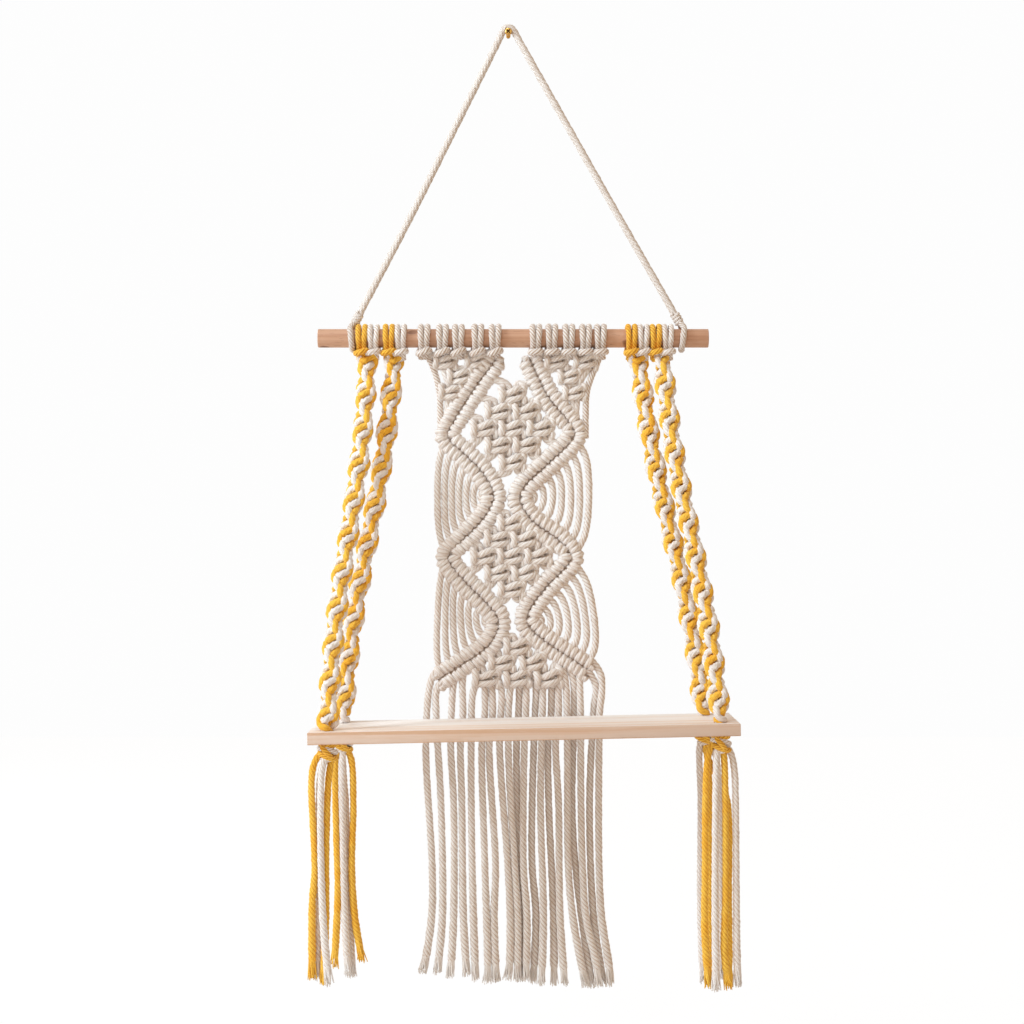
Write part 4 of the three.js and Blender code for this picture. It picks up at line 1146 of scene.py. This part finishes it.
def make_sennit(place):
    work = Ropework("sennit_twist_" + place)
    start, mouth = sennit_axis(place)
    bottom = np.linalg.norm(mouth - start) - SENNIT_END
    room = bottom - SENNIT_BEGIN - SENNIT_ROUND[-1][2]
    count = round(room / HALF_KNOT) + 2
    spacing = room / (count - 2)
    for index, colour in enumerate(("yellow", "white")):
        side = (-1, 1)[index]
        head_x = start[0] + side * SENNIT_HEAD_GAP
        larks_head(work, head_x, colour, **SENNIT_HEAD)
        points = [[head_x - HEAD_LEG, -16.5, -337]]
        for half in range(count):
            flip = 1 if (half + index) % 2 == 0 else -1
            for right, back, down in SENNIT_ROUND:
                drop = SENNIT_BEGIN + (half - 1) * spacing + down
                points.append(beside_axis(place, drop, flip * right, flip * back, rng.uniform(*SENNIT_SLACK)))
        neck_turn = math.pi * index + math.radians(SENNITS[place]["neck_turn"])
        points.extend(neck_points(place, neck_turn))
        work.cord_through(points, SENNIT_CORD, colour, "sennit")
        core = [[head_x + HEAD_LEG, -16.5, -337]]
        for down in np.arange(SENNIT_BEGIN + CORE_BEGIN, bottom, CORE_STEP):
            core.append(beside_axis(place, down, -side * CORE_GAP, 0))
        core.extend(neck_points(place, neck_turn + math.pi / 2))
        work.cord_through(core, CORE_CORD, colour, step=COARSE_STEP)
    work.make("sennit_" + place)


for place in SENNITS:
    make_sennit(place)

# %% [markdown]
# ## Stop knots
# Under the board the four cords are tied in one big knot that can't pass the hole. Its turns are rings of
# cord at different tilts, with one strand laid across the front and one across the back.

# %% Stop knots
KNOT_TURNS = [
    {"height": 6.2, "radius": 6.6, "tilt": 6, "lean": 0, "colour": "yellow"},
    {"height": 1.4, "radius": 8.0, "tilt": -16, "lean": 40, "colour": "white"},
    {"height": -3.6, "radius": 7.8, "tilt": 20, "lean": 160, "colour": "yellow"},
    {"height": -6.2, "radius": 4.8, "tilt": -10, "lean": 250, "colour": "white"},
]
TURN_ANGLES = np.linspace(0, math.radians(372), 30)
TURN_CORD = 5.6 * MM
KNOT_STRAND = np.array([[1.5, -2, 9], [4.5, -8.3, 5], [-0.5, -10.3, -0.5], [-3.5, -7.9, -4.6], [-3, -2, -7]])
STRAND_CORD = 5.4 * MM
INNER_ANGLES = (0.6, 2.2, 3.8, 5.4)
INNER_HEIGHTS = (12, 4, -6)
INNER_RADIUS = 3.0
INNER_CORD = 5.0 * MM


def ring_path(height, radius, tilt, lean):
    """A tilted ring, whose ends overlap."""
    heights = height + radius * math.tan(math.radians(tilt)) * np.cos(TURN_ANGLES - math.radians(lean))
    return np.column_stack([radius * np.cos(TURN_ANGLES), radius * np.sin(TURN_ANGLES), heights])


def make_stop_knot(place, centre):
    work = Ropework("stop_knot_turns_" + place)
    for turn in KNOT_TURNS:
        path = ring_path(turn["height"], turn["radius"], turn["tilt"], turn["lean"]) + centre
        work.cord(even_path(path * MM), TURN_CORD, turn["colour"])
    for side, colour in ((-1, "yellow"), (1, "white")):
        work.cord_through(KNOT_STRAND * [side, -side, 1] + centre, STRAND_CORD, colour)
    for angle in INNER_ANGLES:
        offset = np.array([math.cos(angle), math.sin(angle), 0]) * INNER_RADIUS
        rise = [offset + centre + [0, 0, height] for height in INNER_HEIGHTS]
        work.cord_through(rise, INNER_CORD, "white", step=COARSE_STEP)
    work.make("stop_knot_" + place)


for place, anchor in TASSEL_ANCHORS.items():
    make_stop_knot(place, np.array(anchor))

# %% [markdown]
# ## Panel ridges and fans
# A ridge is a row of hitches: each cord of the panel goes twice round a holding cord. That is a cord wound
# round the ridge's line. In front each turn lies square across the line, and it steps on to the next turn
# behind, with a slightly wider gap after each pair. Between turning points the cords run free, as a fan.

# %% Ridge lines
PANEL_WIDTH = 164
PANEL_LENGTH = 355
RIDGE_LINES = {
    "left": [
        [-0.099, 0.055], [-0.233, 0.139], [-0.368, 0.237], [-0.411, 0.283], [-0.3, 0.336], [-0.192, 0.388],
        [-0.121, 0.457], [-0.192, 0.523], [-0.308, 0.578], [-0.408, 0.63], [-0.296, 0.705], [-0.177, 0.76],
        [-0.092, 0.815], [-0.146, 0.882], [-0.336, 0.946], [-0.471, 0.986],
    ],
    "right": [
        [0.098, 0.055], [0.221, 0.171], [0.325, 0.228], [0.386, 0.275], [0.214, 0.364], [0.079, 0.422],
        [0.039, 0.462], [0.103, 0.519], [0.302, 0.589], [0.366, 0.632], [0.202, 0.72], [0.092, 0.792],
        [0.092, 0.827], [0.254, 0.892], [0.358, 0.922], [0.479, 0.96],
    ],
}
SIGNS = {"left": -1, "right": 1}
RIDGE_SPACING = 13.1


def panel_point(x_share, length_share):
    return ROD_PLACE + [x_share * PANEL_WIDTH, 0, -length_share * PANEL_LENGTH]


def ridge_points(side, outer):
    line = np.array([panel_point(*share) for share in RIDGE_LINES[side]])
    along = np.gradient(line, axis=0)
    along /= np.linalg.norm(along, axis=1)[:, None]
    sideways = np.column_stack([-along[:, 2], np.zeros(len(line)), along[:, 0]])
    outwards = SIGNS[side] * (1 if outer else -1)
    return line + sideways * outwards * RIDGE_SPACING / 2


print("ridge lines:", *[round(path_length(ridge_points(side, True))) for side in SIGNS], "mm")

# %% [markdown]
# The wound cord's reach along the line is a stair with soft steps: it stands still while the turn crosses in
# front and moves on behind. A thin cord on the line itself fills the inside.

# %% Wound ridges
RIDGE_STEP = 0.5 * MM
RIDGE_CORE = 3.2
RIDGE_CORD = 7.7 * MM
RIDGE_PITCH = 6.0 * MM
PAIR_GAP = 0.7 * MM
PAIR_LIFT = 0.15
STEP_SHARE = 0.5
WRAP_POINTS = 18
HOLDING_CORD = 4.8 * MM
HOLDING_STEP = 4 * MM


def wind_ridge(work, side, outer):
    """Winds a cord round the ridge's line, in pairs of turns."""
    line = smooth_path(ridge_points(side, outer) * MM, RIDGE_STEP)
    length = path_length(line)
    turns = round(length / RIDGE_PITCH)
    angles = np.linspace(0, 2 * np.pi * turns, WRAP_POINTS * turns)
    whole, part = np.divmod(angles / (2 * np.pi), 1)
    step = np.clip((part - 0.5) / STEP_SHARE + 0.5, 0, 1)
    reach = (whole + step * step * (3 - 2 * step)) * length / turns
    reach = reach + PAIR_GAP / 2 * np.cos(angles / 2)
    places = np.clip(reach / length, 0, 1) * (len(line) - 1)
    low = np.minimum(places.astype(int), len(line) - 2)
    centre = line[low] + (line[low + 1] - line[low]) * (places - low)[:, None]
    _, across, over = path_frames(line)
    radius = (RIDGE_CORE + PAIR_LIFT * np.cos(angles / 2)) * MM
    wound = centre + across[low] * (radius * np.cos(angles))[:, None]
    wound = wound - over[low] * (SIGNS[side] * radius * np.sin(angles))[:, None]
    work.cord(even_path(wound), RIDGE_CORD, twist="wrap")
    work.cord(even_path(line, HOLDING_STEP), HOLDING_CORD)

# %% [markdown]
# At each inward turn of a ridge the cords leave it, bow outwards and come back further down. Seven arcs make
# such a fan, the outermost at the panel's edge.

# %% Fans and seams
BAYS = [[3, 6, 9], [9, 12, 15]]
FAN_EDGES = {"left": (-0.473, -0.473), "right": (0.474, 0.503)}
FAN_CORDS = 7
FAN_CORD = 7.2 * MM
FAN_WANDER = 0.8
FAN_BOW = 0.72
FAN_RISE = 0.16
SEAM_DEPTH = 2.6
SEAM_CORD = 5.4 * MM
SEAM_STEP = 3 * MM


def add_fans(work, side):
    """The free cords from one part of a ridge to the next, outside each inward turn."""
    line = ridge_points(side, True)
    for (top, inner, bottom), edge in zip(BAYS, FAN_EDGES[side]):
        edge_x = panel_point(edge, 0)[0]
        route = smooth_path(line[top:bottom + 1], RIDGE_STEP / MM)
        turn = np.argmin(np.abs(route - line[inner]).sum(axis=1))
        for i in range(FAN_CORDS):
            share = (i + 0.5) / FAN_CORDS
            start = route[int(turn * share)]
            end = route[int(len(route) - 1 - (len(route) - 1 - turn) * share)]
            middle = (start + end) / 2
            middle[0] = edge_x + (line[inner][0] - edge_x) * i / FAN_CORDS
            middle[1] += rng.uniform(-FAN_WANDER, FAN_WANDER)
            bow = np.array([middle[0] - (start[0] + end[0]) / 2, 0, 0]) * FAN_BOW
            upper, lower = start + bow + (end - start) * FAN_RISE, end + bow + (start - end) * FAN_RISE
            work.cord_through([start, upper, middle, lower, end], FAN_CORD, twist="hanging")


def add_seam(work, side):
    """The cords from one ridge to the other, seen as one dark cord behind the gap between them."""
    line = (ridge_points(side, True) + ridge_points(side, False)) / 2
    line[:, 1] += SEAM_DEPTH
    work.cord_through(line, SEAM_CORD, step=SEAM_STEP)


for side in SIGNS:
    outer = Ropework("outer_ridge_" + side)
    wind_ridge(outer, side, True)
    add_fans(outer, side)
    add_seam(outer, side)
    inner = Ropework("inner_ridge_" + side)
    wind_ridge(inner, side, False)
    outer.make("panel_outer_ridge_" + side)
    inner.make("panel_inner_ridge_" + side)

# %% [markdown]
# ## Square knots
# A square knot holds two middle cords. The left cord crosses in front and comes back below, which gives the
# two bars. The right cord goes behind both times and stands up in front at the left. The tables give both
# paths from top to bottom, as places right, forward and up from the knot's middle.

# %% Square knots
CROSSING_CORD = [
    [-8.2, 0.4, 9.4], [-9.8, 0.4, 5.6], [-8.2, 2.4, 1.4], [-4.2, 4.8, 1.0], [0.0, 5.8, 3.0], [4.6, 5.0, 5.2],
    [8.6, 1.8, 5.4], [10.4, -0.4, 2.2], [8.8, 1.2, -1.6], [5.0, 4.2, -3.8], [0.0, 5.4, -5.0],
    [-5.0, 4.2, -5.4], [-9.0, 1.0, -6.2], [-9.6, 0.2, -9.4],
]
PASSING_CORD = [
    [8.4, 1.0, 9.4], [10.6, 3.6, 7.4], [11.2, 2.2, 4.8], [8.4, -1.6, 3.4], [3.0, -4.4, 2.4],
    [-4.0, -4.4, 2.2], [-9.8, -1.2, 3.8], [-11.4, 3.0, 6.2], [-10.7, 6.2, 3.0], [-10.0, 6.8, -1.0],
    [-10.8, 4.4, -5.2], [-8.4, -1.0, -6.6], [-3.0, -4.4, -5.0], [4.0, -4.4, -4.4], [9.2, -1.2, -4.0],
    [11.0, 2.2, -5.0], [9.6, 1.6, -9.4],
]
MIDDLE_CORD = [[4.4, 0, 9.4], [3.0, 0, 5], [3.0, 0, -5], [4.4, 0, -9.4]]
KNOT_CORD = 6.3 * MM
KNOT_SPREAD = 2.6


def square_knot(work, place, targets, scale):
    """targets has a place where the cords at each corner run on to, or None: the upper left, the upper
    right, the lower left and the lower right corner."""
    turn = math.radians(rng.uniform(-4, 4))
    grow = scale * rng.uniform(0.97, 1.03)
    spin = np.array([[math.cos(turn), 0, -math.sin(turn)], [0, 1, 0], [math.sin(turn), 0, math.cos(turn)]])
    mirrored = [[-x, y, z] for x, y, z in MIDDLE_CORD]
    cords = [(CROSSING_CORD, 0, -1), (mirrored, 0, 1), (MIDDLE_CORD, 1, -1), (PASSING_CORD, 1, 1)]
    for table, side, shift in cords:
        points = np.array(table) * [1, -1, 1] * grow @ spin.T + place
        first, last = targets[side], targets[2 + side]
        if first is not None:
            points = np.vstack([first + [shift * KNOT_SPREAD, 0, 0], points])
        if last is not None:
            points = np.vstack([points, last + [shift * KNOT_SPREAD, 0, 0]])
        work.cord_through(points, KNOT_CORD * scale, twist="knot")

# %% [markdown]
# The knots between the ridges stand in a diamond, and the lowest net is the upper half of one. A knot at the
# diamond's edge sends its outer cords to the nearest ridge.

# %% Nets
NETS = {
    "net_upper": {"top": (-0.002, 0.162), "pitch": 28.9, "row": 17.3, "whole": True},
    "net_middle": {"top": (-0.008, 0.532), "pitch": 27.7, "row": 17.0, "whole": True},
    "net_lower": {"top": (0.029, 0.889), "pitch": 31.8, "row": 16.2, "whole": False},
}
NET_SIZE = 3
NET_SCALE = 1.1
RIDGE_CLEAR = 4
CORNERS = [(-1, 1), (1, 1), (-1, -1), (1, -1)]
INNER_RIDGES = np.vstack([smooth_path(ridge_points(side, False), 1.0) for side in SIGNS])


def nearest_ridge(place, side, rise):
    """The closest point of an inner ridge on one side, above or below a place."""
    offsets = INNER_RIDGES - place
    fits = (offsets[:, 0] * side > 0) & (offsets[:, 2] * rise > RIDGE_CLEAR)
    return INNER_RIDGES[fits][np.argmin(np.linalg.norm(offsets[fits], axis=1))]


def make_net(name, top, pitch, row, whole):
    """A diamond of knots, or its upper half. A knot at an edge sends its cords to the ridge there."""
    work = Ropework("knots_" + name)
    end = NET_SIZE - 1
    for line in range(NET_SIZE):
        for i in range(NET_SIZE if whole else NET_SIZE - line):
            place = panel_point(*top) + [(line - i) * pitch / 2, 0, -(line + i) * row]
            edges = [line == 0, i == 0, whole and i == end, whole and line == end]
            targets = [nearest_ridge(place, *at) if edge else None for edge, at in zip(edges, CORNERS)]
            square_knot(work, place, targets, NET_SCALE)
    work.make(name)


for name, net in NETS.items():
    make_net(name, **net)

# %% [markdown]
# ## Top of the panel
# Five lark's heads on each side feed four square knots, whose cords run into the ridges. The outermost cord
# goes straight down the edge, and a few short cords tie the heads to the knots.

# %% Panel tops
TOPS = {
    "left": {
        "tilt": 2.2,
        "heads": [-0.556, -0.441, -0.342, -0.221, -0.113],
        "knots": [[-0.421, 0.0665], [-0.227, 0.064], [-0.333, 0.11], [-0.389, 0.156]],
        "ridge": [[-0.198, 0.086], [-0.333, 0.178], [-0.425, 0.253]],
        "edge": [[-0.558, 0.036], [-0.508, 0.075], [-0.463, 0.15], [-0.455, 0.289]],
    },
    "right": {
        "tilt": 0.6,
        "heads": [0.544, 0.452, 0.347, 0.241, 0.141],
        "knots": [[0.454, 0.0665], [0.273, 0.0665], [0.354, 0.11], [0.384, 0.158]],
        "ridge": [[0.193, 0.103], [0.306, 0.19], [0.39, 0.243]],
        "edge": [[0.556, 0.036], [0.522, 0.075], [0.463, 0.15], [0.452, 0.289]],
    },
}
HEAD_TO_KNOT = [[0, 0], [1, 0], [2, 0], [2, 1], [3, 1], [4, 1]]
KNOT_TO_KNOT = [[0, 2], [1, 2], [0, 3], [2, 3]]
KNOT_TO_RIDGE = [[1, 0], [2, 1], [3, 2]]
HEAD_ROW = 0.036
HEAD_END = 6.0
KNOT_END = 8.0
TOP_HEAD = {"drop": 21, "diameter": 6.5 * MM}
TOP_SCALE = 0.97
LINK_CORD = 6.8 * MM


def link(work, start, end, forward):
    middle = (start + end) / 2 - [0, forward, 0]
    work.cord_through([start, middle, end], LINK_CORD, twist="knot")


def make_top(side, top):
    work = Ropework("panel_top_" + side)
    for share in top["heads"]:
        larks_head(work, panel_point(share, 0)[0], "cream", tilt=top["tilt"], **TOP_HEAD)
    heads = np.array([panel_point(share, HEAD_ROW) for share in top["heads"]])
    knots, ridge, edge = [
        np.array([panel_point(*share) for share in top[name]]) for name in ("knots", "ridge", "edge")
    ]
    end = np.array([0, 0, KNOT_END])
    links = [
        (HEAD_TO_KNOT, heads - [0, 0, HEAD_END], knots + end, 1, 0.5),
        (KNOT_TO_KNOT, knots - end, knots + end, 1, 0.5),
        (KNOT_TO_RIDGE, knots - end * 0.6, ridge, 0, 0.3),
    ]
    for pairs, starts, ends, spread, forward in links:
        for a, b in pairs:
            for shift in (-KNOT_SPREAD, KNOT_SPREAD):
                link(work, starts[a] + [shift, 0, 0], ends[b] + [shift * spread, 0, 0], forward)
    for place in knots:
        square_knot(work, place, [None] * 4, TOP_SCALE)
    work.cord_through(edge, LINK_CORD)
    work.make("panel_heads_" + side)


for side, top in TOPS.items():
    make_top(side, top)

# %% [markdown]
# ## Finish
# The dressed shelf may stand a little proud of the frame's box.

# %% Finish
import json
